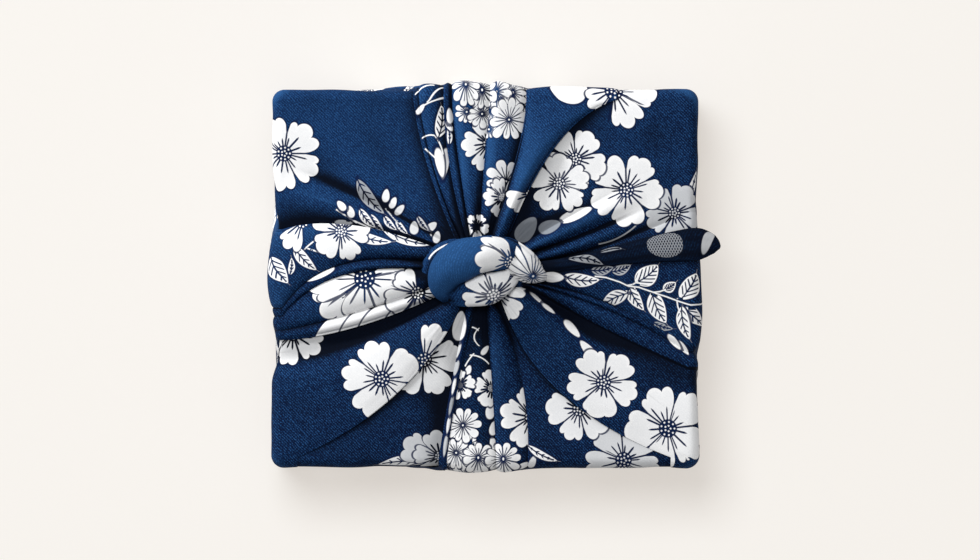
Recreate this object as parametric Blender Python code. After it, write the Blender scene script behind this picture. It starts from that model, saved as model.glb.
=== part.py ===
"""A furoshiki wrap: one square cotton cloth drawn up round a box from its four
corners, gathered over the middle of each side and tied on top in a knot with one
free end. The cloth hides what it holds, so the wrap is one filled solid.

Every fold on top runs from the knot to the rim. FOLDS lists the lines between the
folds, clockwise as seen from above, and each row also shapes the fold that starts
at its line. The same lines run on over the rim and down the walls, where the
gathers open out and fade. Metres, +Z up, +Y towards the back; tables in mm.
"""

import math
from collections import namedtuple

import bmesh
import bpy
from mathutils import Vector

MM = 0.001

# The wrapped box
HALF_X = 110.5
HALF_Y = 98.0
HEIGHT = 72.0
CORNER = 6.0  # radius of an upright corner, seen from above
EDGE = 5.0  # radius of the rim between top and wall
HEEL = 3.0  # radius between wall and underside
WALL = HEIGHT - EDGE - HEEL
HEEL_KEEP = 0.16  # share of a fold's relief left where the wall meets the underside
DRIFT_POWER = 1.3  # how late on its way down a line drifts along the wall

# The gathers under the knot
KNOT_X, KNOT_Y = -0.5, 3.4
GATHER = 0.72  # the fold lines run on under the knot to this share of its outline
NECK = 0.45  # and close up to this share of the gather, at one level
NECK_RISE = 11.0
GATHER_RISE = 9.0  # the gathered cloth lifts this much at the knot
RISE_POWER = 2.2

# Rows of the loft: shares of the way from knot to rim, then of the turn and the wall
TOP_STATIONS = (0.08, 0.17, 0.28, 0.40, 0.53, 0.67, 0.81, 0.92, 1.0)
TURN_STATIONS = (0.33, 0.67, 1.0)
WALL_STATIONS = (0.14, 0.3, 0.47, 0.65, 0.83, 1.0)
LIP = 0.9  # how far a lapped edge stands back from the line it covers
MERGE = 0.3  # points of the loft closer than this are one, which is so under the knot

CLOTH_COLOUR = (0.012, 0.045, 0.16, 1.0)
CLOTH_ROUGHNESS = 0.85

# One row for each fold line, in mm from the middle of the box:
#   side, at        the wall that it crosses, and where along that wall
#   mid_x, mid_y    a point half-way to the knot
#   out_x, out_y    where it slips under the knot's outline
#   rim, mid, knot  level of the crease at those three places
#   lap, rim_lap    + : the fold after the line laps over the one before; - : under it
#   c_rim, c_mid, c_knot   crown of the fold that starts at this line
#   round_          0.5 is a full roll, 1 a shallow swell
#   lean            where its crest lies, 0 at this line and 1 at the next
#   spread          how far along the wall the line drifts on its way down
#   steps           columns of the loft across the fold
Fold = namedtuple(
    "Fold",
    "name side at mid_x mid_y out_x out_y rim mid knot lap rim_lap "
    "c_rim c_mid c_knot round_ lean spread steps",
)
FOLDS = [
    Fold("back_left_hollow", "W", 24, -68, 26, -23, 16, -4.5, -1.0, -1.0, -2.6, -2.6,
         0.6, 0.3, 0.0, 1.0, 0.5, 26, 3),
    Fold("back_left_ridge", "W", 46, -73, 36.5, -21, 18, -1.0, 2.2, 0.5, 0.0, 0.0,
         0.0, 0.0, 0.0, 1.0, 0.5, 22, 3),
    Fold("back_left_panel", "W", 59, -69, 45, -20, 19.5, 0.0, -1.6, -1.0, 0.0, 0.0,
         0.4, 0.8, 0.5, 1.0, 0.5, 18, 8),
    Fold("back_sliver", "N", -36.5, -28.5, 56.5, -17, 21, -0.6, -1.0, -1.5, 1.0, 0.8,
         0.6, 1.3, 2.0, 0.6, 0.5, -58, 3),
    Fold("back_leaf_pleat", "N", -34, -25.5, 55, -14.5, 21.5, 1.0, -0.5, -1.0, 1.2, 1.2,
         1.3, 1.7, 2.0, 0.6, 0.4, -50, 4),
    Fold("back_narrow_pleat", "N", -20.5, -17.5, 59, -11.5, 21.5, 1.6, 0.4, -0.6, 1.5, 1.5,
         0.9, 1.6, 1.8, 0.55, 0.5, -30, 4),
    Fold("back_middle_pleat", "N", -16.5, -13.5, 64, -9, 22, 1.8, 0.4, -0.6, 1.5, 1.5,
         1.5, 1.9, 2.2, 0.6, 0.35, -20, 5),
    Fold("back_right_pleat", "N", 3.5, 0.5, 60.5, -3.5, 21.5, 1.9, 0.5, -1.0, 1.3, 1.2,
         1.5, 2.2, 2.4, 0.6, 0.35, 12, 5),
    Fold("back_roll", "N", 22.5, 16.5, 60, 1.5, 20, -0.6, 0.0, -1.0, 1.8, 1.4,
         1.2, 4.2, 6.0, 0.6, 0.4, 46, 7),
    Fold("right_back_panel", "N", 68, 35.5, 69, 11.5, 18.5, 0.0, 0.0, -2.5, -2.2, -0.7,
         0.5, 0.4, 0.0, 1.0, 0.5, 24, 8),
    Fold("upper_right_roll", "E", 67, 52, 37, 14, 16.5, 0.0, 0.0, -3.0, 0.0, 0.0,
         0.0, 4.4, 5.5, 0.6, 0.5, -14, 5),
    Fold("lower_right_roll", "E", 48.5, 62.5, 27.5, 22, 13, 0.0, -0.6, -2.0, 0.0, 0.0,
         0.0, 3.8, 5.0, 0.6, 0.5, -22, 5),
    Fold("right_hollow_fold", "E", 34.5, 66, 18.5, 30, 7.5, -0.8, -1.0, -2.0, 0.0, 0.0,
         0.4, 2.2, 3.0, 0.6, 0.5, -24, 4),
    Fold("right_vine_band", "E", 17.5, 70, 10.5, 31, 5.5, -0.5, -0.8, -2.0, 0.6, 0.6,
         1.4, 2.6, 3.2, 0.6, 0.45, -22, 7),
    Fold("right_small_fold", "E", -34, 62.5, -12, 31, -2.5, 0.5, 0.2, -1.6, -0.6, -0.6,
         0.3, 1.6, 2.6, 0.6, 0.5, 22, 3),
    Fold("right_front_ridge", "E", -38, 66, -17, 30, -4.5, -2.2, -0.6, -2.0, -0.8, -0.8,
         1.0, 3.4, 4.0, 0.7, 0.4, 28, 5),
    Fold("front_right_valley", "E", -47, 63, -27, 27.5, -6, 0.0, -1.3, -2.5, 0.0, 0.0,
         0.0, 0.0, 0.0, 1.0, 0.5, 26, 3),
    Fold("front_right_lapel", "E", -76, 60, -40, 23.5, -7.5, 0.5, 2.2, 2.6, 0.0, 0.0,
         0.6, 1.4, 2.6, 0.8, 0.45, 10, 8),
    Fold("front_right_underlay", "S", 97, 38.5, -57, 11, -12, 0.0, -0.3, -2.0, -2.2, -0.7,
         0.4, 1.3, 2.0, 0.8, 0.5, -3, 5),
    Fold("front_flower_pleat", "S", 23, 19, -50, 5.5, -15, 0.0, -0.8, -2.0, -0.8, -0.8,
         1.0, 2.0, 2.4, 0.6, 0.65, -50, 5),
    Fold("front_wide_pleat", "S", 6.8, 4, -47.5, 2, -15.5, 0.8, 0.0, -1.5, -1.2, -1.2,
         1.7, 1.2, 1.6, 0.65, 0.5, -20, 6),
    Fold("front_hem", "S", -20.5, -13.7, -50, -6.5, -14.5, 1.0, 0.3, -1.0, 0.9, 0.9,
         0.5, 0.7, 0.7, 0.5, 0.5, 34, 3),
    Fold("front_left_underlay", "S", -23, -16, -52.5, -10, -14, -0.6, -0.5, -1.5, -1.6, -1.6,
         0.3, 0.5, 1.0, 1.0, 0.5, 38, 5),
    Fold("front_left_lapel", "S", -98, -45, -57.5, -15, -13, 0.0, -0.3, -2.0, 2.2, 0.7,
         0.4, 0.8, 2.2, 0.8, 0.4, 3, 7),
    Fold("front_left_crest", "W", -55.5, -59, -37, -20, -12, 0.5, 2.6, 1.0, 0.0, 0.0,
         0.0, 0.0, 0.0, 1.0, 0.5, -22, 3),
    Fold("front_left_valley", "W", -38.5, -62.5, -29, -22, -10.5, -3.4, -1.5, -2.0, 0.0, 0.0,
         0.0, 0.0, 0.0, 1.0, 0.5, -30, 2),
    Fold("left_bottom_roll", "W", -30, -66, -24, -24, -9, -3.0, -1.0, -2.0, 2.0, 2.0,
         1.2, 3.0, 3.0, 0.55, 0.5, -30, 5),
    Fold("left_flower_roll", "W", -25, -66, -17, -28, -3, 0.0, 0.8, -0.6, 1.6, 1.6,
         1.6, 4.0, 3.0, 0.6, 0.5, -22, 6),
    Fold("left_thin_roll", "W", -19.5, -73, 1.5, -31.5, 4, 1.0, 1.4, 0.0, 1.5, 1.5,
         0.8, 2.4, 2.5, 0.55, 0.5, -8, 5),
    Fold("left_top_roll", "W", -14, -73, 7.5, -31, 8.5, 1.4, 1.2, 0.0, 0.6, 0.6,
         2.4, 4.0, 3.5, 0.6, 0.5, 6, 8),
]

# The knot: straps of gathered cloth, each lofted through oval sections in mm.
# Up is measured from the top of the box.
Section = namedtuple("Section", "x y up half_width half_height")
KNOT_STRAPS = {
    "over": [  # the broad strap that rolls over the front of the knot
        Section(16, 1, 12, 5, 4),
        Section(12, 8, 17.5, 8, 6.5),
        Section(4, 11.5, 21, 10, 8),
        Section(-6, 11, 22.5, 11, 8.5),
        Section(-16, 7.5, 20.5, 10.5, 8),
        Section(-22, 1, 15, 8.5, 7),
        Section(-21.5, -6, 9, 6.5, 5),
        Section(-16, -10, 5, 4.5, 4),
    ],
    "right_turn": [  # comes out behind and turns round the right of the knot
        Section(4, 16.5, 10, 5, 4),
        Section(13, 16, 14.5, 6, 5.2),
        Section(21.5, 12, 16, 7, 6),
        Section(24.5, 4, 15, 6.8, 6),
        Section(20.5, -3, 12, 6.2, 5.2),
        Section(12, -6, 8, 4.5, 4),
    ],
    "under": [  # shows below the broad strap
        Section(-19, -7, 5, 4, 3.5),
        Section(-13, -9.2, 9.5, 6, 5),
        Section(-4.5, -7.8, 14.5, 8, 6),
        Section(5, -5, 16.5, 8.5, 6.2),
        Section(12, -1, 15, 7, 5.5),
        Section(15, 4, 11, 5, 4.5),
    ],
    "left_turn": [  # a thin rim of cloth behind the left of the knot
        Section(-8, 13, 9, 3.5, 3.5),
        Section(-19, 15.5, 11, 4.4, 4),
        Section(-27, 10, 11, 4.8, 4.2),
        Section(-29, 3.5, 9, 4.4, 3.8),
        Section(-26, -2, 5, 3.4, 3),
    ],
    "behind": [  # the strap that closes the back of the knot
        Section(20, 9, 8, 4.5, 4),
        Section(11, 15, 10, 6, 5.5),
        Section(0, 15.5, 11.5, 6.5, 6),
        Section(-11, 13.5, 10, 5.5, 5),
        Section(-18, 7, 8, 4.5, 4),
    ],
    "heart": [  # what the straps close round
        Section(-24, 4, 6, 6, 4),
        Section(-12, 4, 13, 12, 8),
        Section(0, 3, 15, 13, 9),
        Section(12, 3, 13, 12, 8),
        Section(24, 4, 6, 6, 4),
    ],
}
# The free end: a corner of the cloth folded flat, ending in a point past the rim
TAIL = [
    Section(24, 5.5, 10, 3, 2.6),
    Section(40, 7.2, 9, 3.2, 2.4),
    Section(58, 10.0, 6.2, 4.0, 2.0),
    Section(80, 14.2, 4.4, 6.0, 1.7),
    Section(100, 17.0, 3.4, 7.8, 1.6),
    Section(110, 17.9, 2.6, 8.4, 1.6),
    Section(116, 17.6, 1.8, 5.6, 1.5),
    Section(122.2, 15.4, 1.2, 0.7, 0.9),
]
STRAP_SIDES = 12
STRAP_STEPS = 3  # rings between two sections
TAIL_SIDES = 8
TAIL_STEPS = 2


def clear_scene():
    for obj in list(bpy.data.objects):
        bpy.data.objects.remove(obj, do_unlink=True)


def smooth(share):
    return share * share * (3 - 2 * share)


# The outline of the box seen from above, clockwise from the middle of the left wall
CORE_X, CORE_Y = HALF_X - CORNER, HALF_Y - CORNER
BEND = CORNER * math.pi / 2
NORTH_START = CORE_Y + BEND
EAST_START = NORTH_START + 2 * CORE_X + BEND
SOUTH_START = EAST_START + 2 * CORE_Y + BEND
WEST_START = SOUTH_START + 2 * CORE_X + BEND
ROUND = WEST_START + CORE_Y


def along(side, at):
    """How far round the outline a place on one wall lies."""
    return {
        "W": at % ROUND,
        "N": NORTH_START + at + CORE_X,
        "E": EAST_START + CORE_Y - at,
        "S": SOUTH_START + CORE_X - at,
    }[side]


def outline(distance):
    """(core point, outward direction) at a distance round the outline."""
    d = distance % ROUND
    runs = (  # start, length, core point at the start, way along it, outward bearing
        (0.0, CORE_Y, (-CORE_X, 0.0), (0, 1), 180),
        (NORTH_START, 2 * CORE_X, (-CORE_X, CORE_Y), (1, 0), 90),
        (EAST_START, 2 * CORE_Y, (CORE_X, CORE_Y), (0, -1), 0),
        (SOUTH_START, 2 * CORE_X, (CORE_X, -CORE_Y), (-1, 0), -90),
        (WEST_START, CORE_Y, (-CORE_X, -CORE_Y), (0, 1), -180),
    )
    for start, length, point, way, bearing in reversed(runs):
        if d >= start:
            on_side = min(d - start, length)
            past = (d - start - on_side) / BEND
            angle = math.radians(bearing - 90 * past)
            core = Vector((point[0] + way[0] * on_side, point[1] + way[1] * on_side))
            return core, Vector((math.cos(angle), math.sin(angle)))


def rim_point(distance):
    core, out = outline(distance)
    return core + out * (CORNER - EDGE)


def through(first, middle, last, share):
    """The curve through three values, at 0, 0.5 and 1."""
    return (
        first * (1 - share) * (1 - 2 * share)
        + middle * 4 * share * (1 - share)
        + last * share * (2 * share - 1)
    )


def gather_point(fold):
    """Where a fold line ends, under the knot."""
    knot = Vector((KNOT_X, KNOT_Y))
    return knot + (Vector((fold.out_x, fold.out_y)) - knot) * GATHER


def line_point(fold, share):
    return through(
        gather_point(fold),
        Vector((fold.mid_x, fold.mid_y)),
        rim_point(along(fold.side, fold.at)),
        share,
    )


def plan_point(fold, following, across, share):
    """A place on the top, across a fold from its line to the next one. The four
    edges of the fold are its two lines, the rim and the knot, and this blends them."""
    start, end = line_point(fold, share), line_point(following, share)
    inside = start.lerp(end, across)
    rim = rim_point(round_at(fold, following, across))
    rim_chord = line_point(fold, 1.0).lerp(line_point(following, 1.0), across)
    return inside + (rim - rim_chord) * share**2


def round_at(fold, following, across):
    begin = along(fold.side, fold.at)
    span = (along(following.side, following.at) - begin) % ROUND
    return begin + span * across


def level(fold, share):
    """Level of the crease at a fold line."""
    rise = GATHER_RISE * (1 - share) ** RISE_POWER
    return rise + through(fold.knot, fold.mid, fold.rim, share)


def lap(fold, share):
    return fold.lap + (fold.rim_lap - fold.lap) * share**2


def relief(fold, following, across, share):
    """Height of a fold over the plain box."""
    start = level(fold, share) + max(lap(fold, share), 0.0)
    end = level(following, share) + max(-lap(following, share), 0.0)
    if across <= fold.lean:
        place = 0.5 * across / fold.lean
    else:
        place = 0.5 + 0.5 * (across - fold.lean) / (1 - fold.lean)
    arch = (4 * place * (1 - place)) ** fold.round_
    crown = max(through(fold.c_knot, fold.c_mid, fold.c_rim, share), 0.0)
    return start + (end - start) * smooth(across) + crown * arch


def shares_across(fold, following):
    """Where the columns of one fold lie, closer together at its edges and with
    extra ones where the outline turns a corner of the box."""
    shares = [
        (1 - math.cos(math.pi * k / fold.steps)) / 2 for k in range(fold.steps)
    ]
    begin = along(fold.side, fold.at)
    span = (along(following.side, following.at) - begin) % ROUND
    for start in (CORE_Y, NORTH_START + 2 * CORE_X, EAST_START + 2 * CORE_Y,
                  SOUTH_START + 2 * CORE_X):
        for part in (0.0, 0.33, 0.67, 1.0):
            share = ((start + BEND * part - begin) % ROUND) / span
            if share < 1:
                shares = [s for s in shares if s == 0 or abs(s - share) > 0.02]
                shares.append(share)
    return sorted(shares)


def column(fold, following, across, lift):
    """The points of one column, from the knot over the rim to the underside."""
    knot = Vector((KNOT_X, KNOT_Y))
    gathered = plan_point(fold, following, across, 0.0)
    neck = knot + (gathered - knot) * NECK
    points = [(*neck, HEIGHT + NECK_RISE), (*gathered, HEIGHT + GATHER_RISE)]
    for share in TOP_STATIONS:
        place = plan_point(fold, following, across, share)
        height = relief(fold, following, across, share) + lift
        points.append((place.x, place.y, HEIGHT + height))
    height = relief(fold, following, across, 1.0) + lift
    begin = round_at(fold, following, across)
    drift = fold.spread + (following.spread - fold.spread) * across
    for share in TURN_STATIONS:
        core, out = outline(begin)
        angle = share * math.pi / 2
        reach = (EDGE + height) * math.sin(angle) + CORNER - EDGE
        drop = EDGE - (EDGE + height) * math.cos(angle)
        points.append((*(core + out * reach), HEIGHT - drop))
    for share in WALL_STATIONS:
        core, out = outline(begin + drift * share**DRIFT_POWER)
        keep = 1 - (1 - HEEL_KEEP) * share
        points.append((*(core + out * (CORNER + height * keep)), HEIGHT - EDGE - WALL * share))
    core, out = outline(begin + drift)
    foot = CORNER + height * HEEL_KEEP
    for share in (0.5, 1.0):
        angle = share * math.pi / 2
        reach = foot - HEEL * (1 - math.cos(angle))
        points.append((*(core + out * reach), HEEL * (1 - math.sin(angle))))
    return points


def wrap_columns():
    """Every column of the loft, clockwise. A lapped line has two, one on each layer."""
    columns = []
    for index, fold in enumerate(FOLDS):
        following = FOLDS[(index + 1) % len(FOLDS)]
        shares = shares_across(fold, following)
        width = (along(following.side, following.at) - along(fold.side, fold.at)) % ROUND
        lip = LIP / width
        if fold.lap > 0:
            shares[0] = min(lip, 0.5 * shares[1])
        for share in shares:
            columns.append(column(fold, following, share, 0.0))
        if following.lap < 0:
            columns.append(column(fold, following, 1 - min(lip, 0.08), 0.0))
        if following.lap > 0:
            columns.append(column(fold, following, 1.0, 0.0))
    return columns


def cotton():
    material = bpy.data.materials.new("printed_cotton")
    material.use_nodes = True
    shader = material.node_tree.nodes["Principled BSDF"]
    shader.inputs["Base Color"].default_value = CLOTH_COLOUR
    shader.inputs["Roughness"].default_value = CLOTH_ROUGHNESS
    shader.inputs["Metallic"].default_value = 0.0
    return material


def sheet_of(rows, name, collection):
    """A closed loft: a grid whose points are laid on the rows, with its two sides
    welded together and both ends filled."""
    mesh = bmesh.new()
    bmesh.ops.create_grid(
        mesh, x_segments=len(rows[0]), y_segments=len(rows) - 1, size=1
    )
    mesh.verts.ensure_lookup_table()
    wide = len(rows[0]) + 1
    for index, vert in enumerate(mesh.verts):
        row, place = divmod(index, wide)
        vert.co = Vector(rows[row][place % (wide - 1)]) * MM
    bmesh.ops.remove_doubles(mesh, verts=mesh.verts, dist=MERGE * MM)
    bmesh.ops.holes_fill(mesh, edges=mesh.edges, sides=0)
    bmesh.ops.recalc_face_normals(mesh, faces=mesh.faces)
    data = bpy.data.meshes.new(name)
    mesh.to_mesh(data)
    mesh.free()
    obj = bpy.data.objects.new(name, data)
    collection.objects.link(obj)
    return obj


def strap(name, sections, sides, steps, collection):
    """A strap lofted through oval sections that stand square to its path."""
    path = [Vector((s.x, s.y, HEIGHT + s.up)) for s in sections]
    last = len(sections) - 1
    rows = []
    for k in range(last * steps + 1):
        whole = min(k // steps, last - 1)
        part = k / steps - whole
        before, after = max(whole - 1, 0), min(whole + 2, last)
        controls = (before, whole, whole + 1, after)
        centre = catmull([path[c] for c in controls], part)
        ahead = catmull([path[c] for c in controls], min(part + 0.05, 1.0))
        behind = catmull([path[c] for c in controls], max(part - 0.05, 0.0))
        forward = (ahead - behind).normalized()
        side = forward.cross(Vector((0, 0, 1))).normalized()
        up = side.cross(forward)
        wide = catmull([sections[c].half_width for c in controls], part)
        high = catmull([sections[c].half_height for c in controls], part)
        rows.append([
            centre
            + side * wide * math.cos(2 * math.pi * n / sides)
            + up * high * math.sin(2 * math.pi * n / sides)
            for n in range(sides)
        ])
    return sheet_of(rows, name, collection)


def catmull(values, share):
    """The smooth curve through the middle two of four values."""
    a, b, c, d = values
    return (
        b * 2
        + (c - a) * share
        + (a * 2 - b * 5 + c * 4 - d) * share**2
        + (b * 3 - a - c * 3 + d) * share**3
    ) * 0.5


def join_to(body, cutter):
    union = body.modifiers.new("join_" + cutter.name, "BOOLEAN")
    union.operation = "UNION"
    union.solver = "MANIFOLD"  # the exact solver loses the wrap where folds graze the knot
    union.object = cutter
    cutter.hide_render = True
    cutter.display_type = "WIRE"


def main():
    clear_scene()
    parts = bpy.data.collections.new("furoshiki_wrap")
    helpers = bpy.data.collections.new("joined_helpers")
    bpy.context.scene.collection.children.link(parts)
    bpy.context.scene.collection.children.link(helpers)

    columns = wrap_columns()
    rows = [[column_[row] for column_ in columns] for row in range(len(columns[0]))]
    wrap = sheet_of(rows, "furoshiki", parts)
    wrap.data.materials.append(cotton())
    for name, sections in KNOT_STRAPS.items():
        join_to(wrap, strap("knot_" + name, sections, STRAP_SIDES, STRAP_STEPS, helpers))
    join_to(wrap, strap("free_end", TAIL, TAIL_SIDES, TAIL_STEPS, helpers))


main()
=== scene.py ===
# %% [markdown]
# # A furoshiki wrap, dressed
#
# The object is one square cotton cloth, printed with white blossoms on indigo, that
# is drawn up round a box and tied on top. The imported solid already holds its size,
# its gathers and its knot. This lesson lays the cloth itself over that solid: thin
# sheets with turned edges where one fold laps over another, then the knot and the
# free end, and at last the print and the weave.

# %% Load the frame
import math
from collections import namedtuple

import bmesh
import bpy
import numpy as np
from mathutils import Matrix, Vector
from mathutils.kdtree import KDTree


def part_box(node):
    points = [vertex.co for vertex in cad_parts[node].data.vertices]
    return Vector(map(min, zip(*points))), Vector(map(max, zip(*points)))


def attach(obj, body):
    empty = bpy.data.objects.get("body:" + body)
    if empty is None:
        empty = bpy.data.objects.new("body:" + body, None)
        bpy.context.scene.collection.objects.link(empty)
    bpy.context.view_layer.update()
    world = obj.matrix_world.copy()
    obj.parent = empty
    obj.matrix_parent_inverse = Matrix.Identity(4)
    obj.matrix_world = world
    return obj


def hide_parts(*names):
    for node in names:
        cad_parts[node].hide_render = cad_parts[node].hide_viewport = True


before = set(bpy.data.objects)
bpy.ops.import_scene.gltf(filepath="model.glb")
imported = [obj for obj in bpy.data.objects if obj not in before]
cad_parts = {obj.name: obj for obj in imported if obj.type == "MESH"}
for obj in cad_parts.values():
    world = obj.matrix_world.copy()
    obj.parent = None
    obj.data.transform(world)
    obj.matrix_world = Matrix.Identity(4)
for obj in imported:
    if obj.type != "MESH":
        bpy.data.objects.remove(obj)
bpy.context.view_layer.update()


low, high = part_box("furoshiki")
MM = 0.001
print("the solid is", [round(float(b - a) / MM, 1) for a, b in zip(low, high)], "mm")

# %% [markdown]
# ## The camera
#
# The view is straight down. A long lens from far away keeps the walls out of sight,
# as they are in the picture, where only the top and its rim show. The lens follows
# from how much of the floor the picture takes in.

# %% Camera
VIEW_WIDTH = 509.6  # mm across the picture, at the height of the box's top
LOOKS_AT = Vector((2.6, -0.8, 72.0)) * MM
CAMERA_ABOVE = 4.0  # m over the box's top
SENSOR = 36.0
SEES_AS_FAR_AS = 30.0  # m

camera_data = bpy.data.cameras.new("overhead_lens")
camera_data.sensor_width = SENSOR
camera_data.lens = SENSOR * CAMERA_ABOVE / (VIEW_WIDTH * MM)
camera_data.clip_end = SEES_AS_FAR_AS
camera = bpy.data.objects.new("overhead_camera", camera_data)
camera.location = LOOKS_AT + Vector((0, 0, CAMERA_ABOVE))
bpy.context.scene.collection.objects.link(camera)
bpy.context.scene.camera = camera
print("lens", round(camera_data.lens), "mm")

# %% [markdown]
# ## The outline of the box
#
# Every column of the cloth crosses the rim somewhere, so places on the rim are told
# by their distance round the outline, clockwise from the middle of the left wall.
# Walls and rounded corners take turns. All of this is in millimetres, and only
# finished points are turned into metres.

# %% Outline
HALF_X = 110.5
HALF_Y = 98.0
HEIGHT = 72.0
CORNER = 6.0  # radius of an upright corner, seen from above
EDGE = 5.0  # radius of the rim between top and wall
HEEL = 3.0  # radius between wall and underside
WALL = HEIGHT - EDGE - HEEL

CORE_X, CORE_Y = HALF_X - CORNER, HALF_Y - CORNER
BEND = CORNER * math.pi / 2
NORTH = CORE_Y + BEND
EAST = NORTH + 2 * CORE_X + BEND
SOUTH = EAST + 2 * CORE_Y + BEND
WEST = SOUTH + 2 * CORE_X + BEND
ROUND = WEST + CORE_Y

Run = namedtuple("Run", "start length core way bearing")
RUNS = (
    Run(0.0, CORE_Y, (-CORE_X, 0.0), (0, 1), 180),
    Run(NORTH, 2 * CORE_X, (-CORE_X, CORE_Y), (1, 0), 90),
    Run(EAST, 2 * CORE_Y, (CORE_X, CORE_Y), (0, -1), 0),
    Run(SOUTH, 2 * CORE_X, (CORE_X, -CORE_Y), (-1, 0), -90),
    Run(WEST, CORE_Y, (-CORE_X, -CORE_Y), (0, 1), -180),
)


def along(side, at):
    """How far round the outline a place on one wall lies."""
    return {
        "W": at % ROUND,
        "N": NORTH + at + CORE_X,
        "E": EAST + CORE_Y - at,
        "S": SOUTH + CORE_X - at,
    }[side]


def outline(distance):
    """(core points, outward directions) at an array of distances round the outline."""
    d = np.asarray(distance, float) % ROUND
    core, out = np.zeros(d.shape + (2,)), np.zeros(d.shape + (2,))
    for run in RUNS:
        here = d >= run.start
        on_side = np.minimum(d[here] - run.start, run.length)
        past = (d[here] - run.start - on_side) / BEND
        angle = np.radians(run.bearing - 90 * past)
        core[here] = np.outer(on_side, run.way) + run.core
        out[here] = np.stack([np.cos(angle), np.sin(angle)], 1)
    return core, out


def rim_points(distance):
    core, out = outline(distance)
    return core + out * (CORNER - EDGE)


print("the outline is", round(ROUND), "mm round")

# %% [markdown]
# ## The folds
#
# A cloth that is gathered under a knot falls into folds that run out to the rim like
# spokes. Modelling them one by one would be slow, so each spoke is a row in a table:
# where it crosses the rim, a point half-way, and where it slips under the knot. The
# rest of a row shapes the fold that starts there: the level of its crease at those
# three places, how far one layer laps over the other, the height and form of its
# crown, how far the line drifts along the wall, and how finely the fold is divided.
# `layer` names the stretch of cloth that the fold belongs to, so that a blossom stays
# on its own layer and is cut off where another one covers it.

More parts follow.
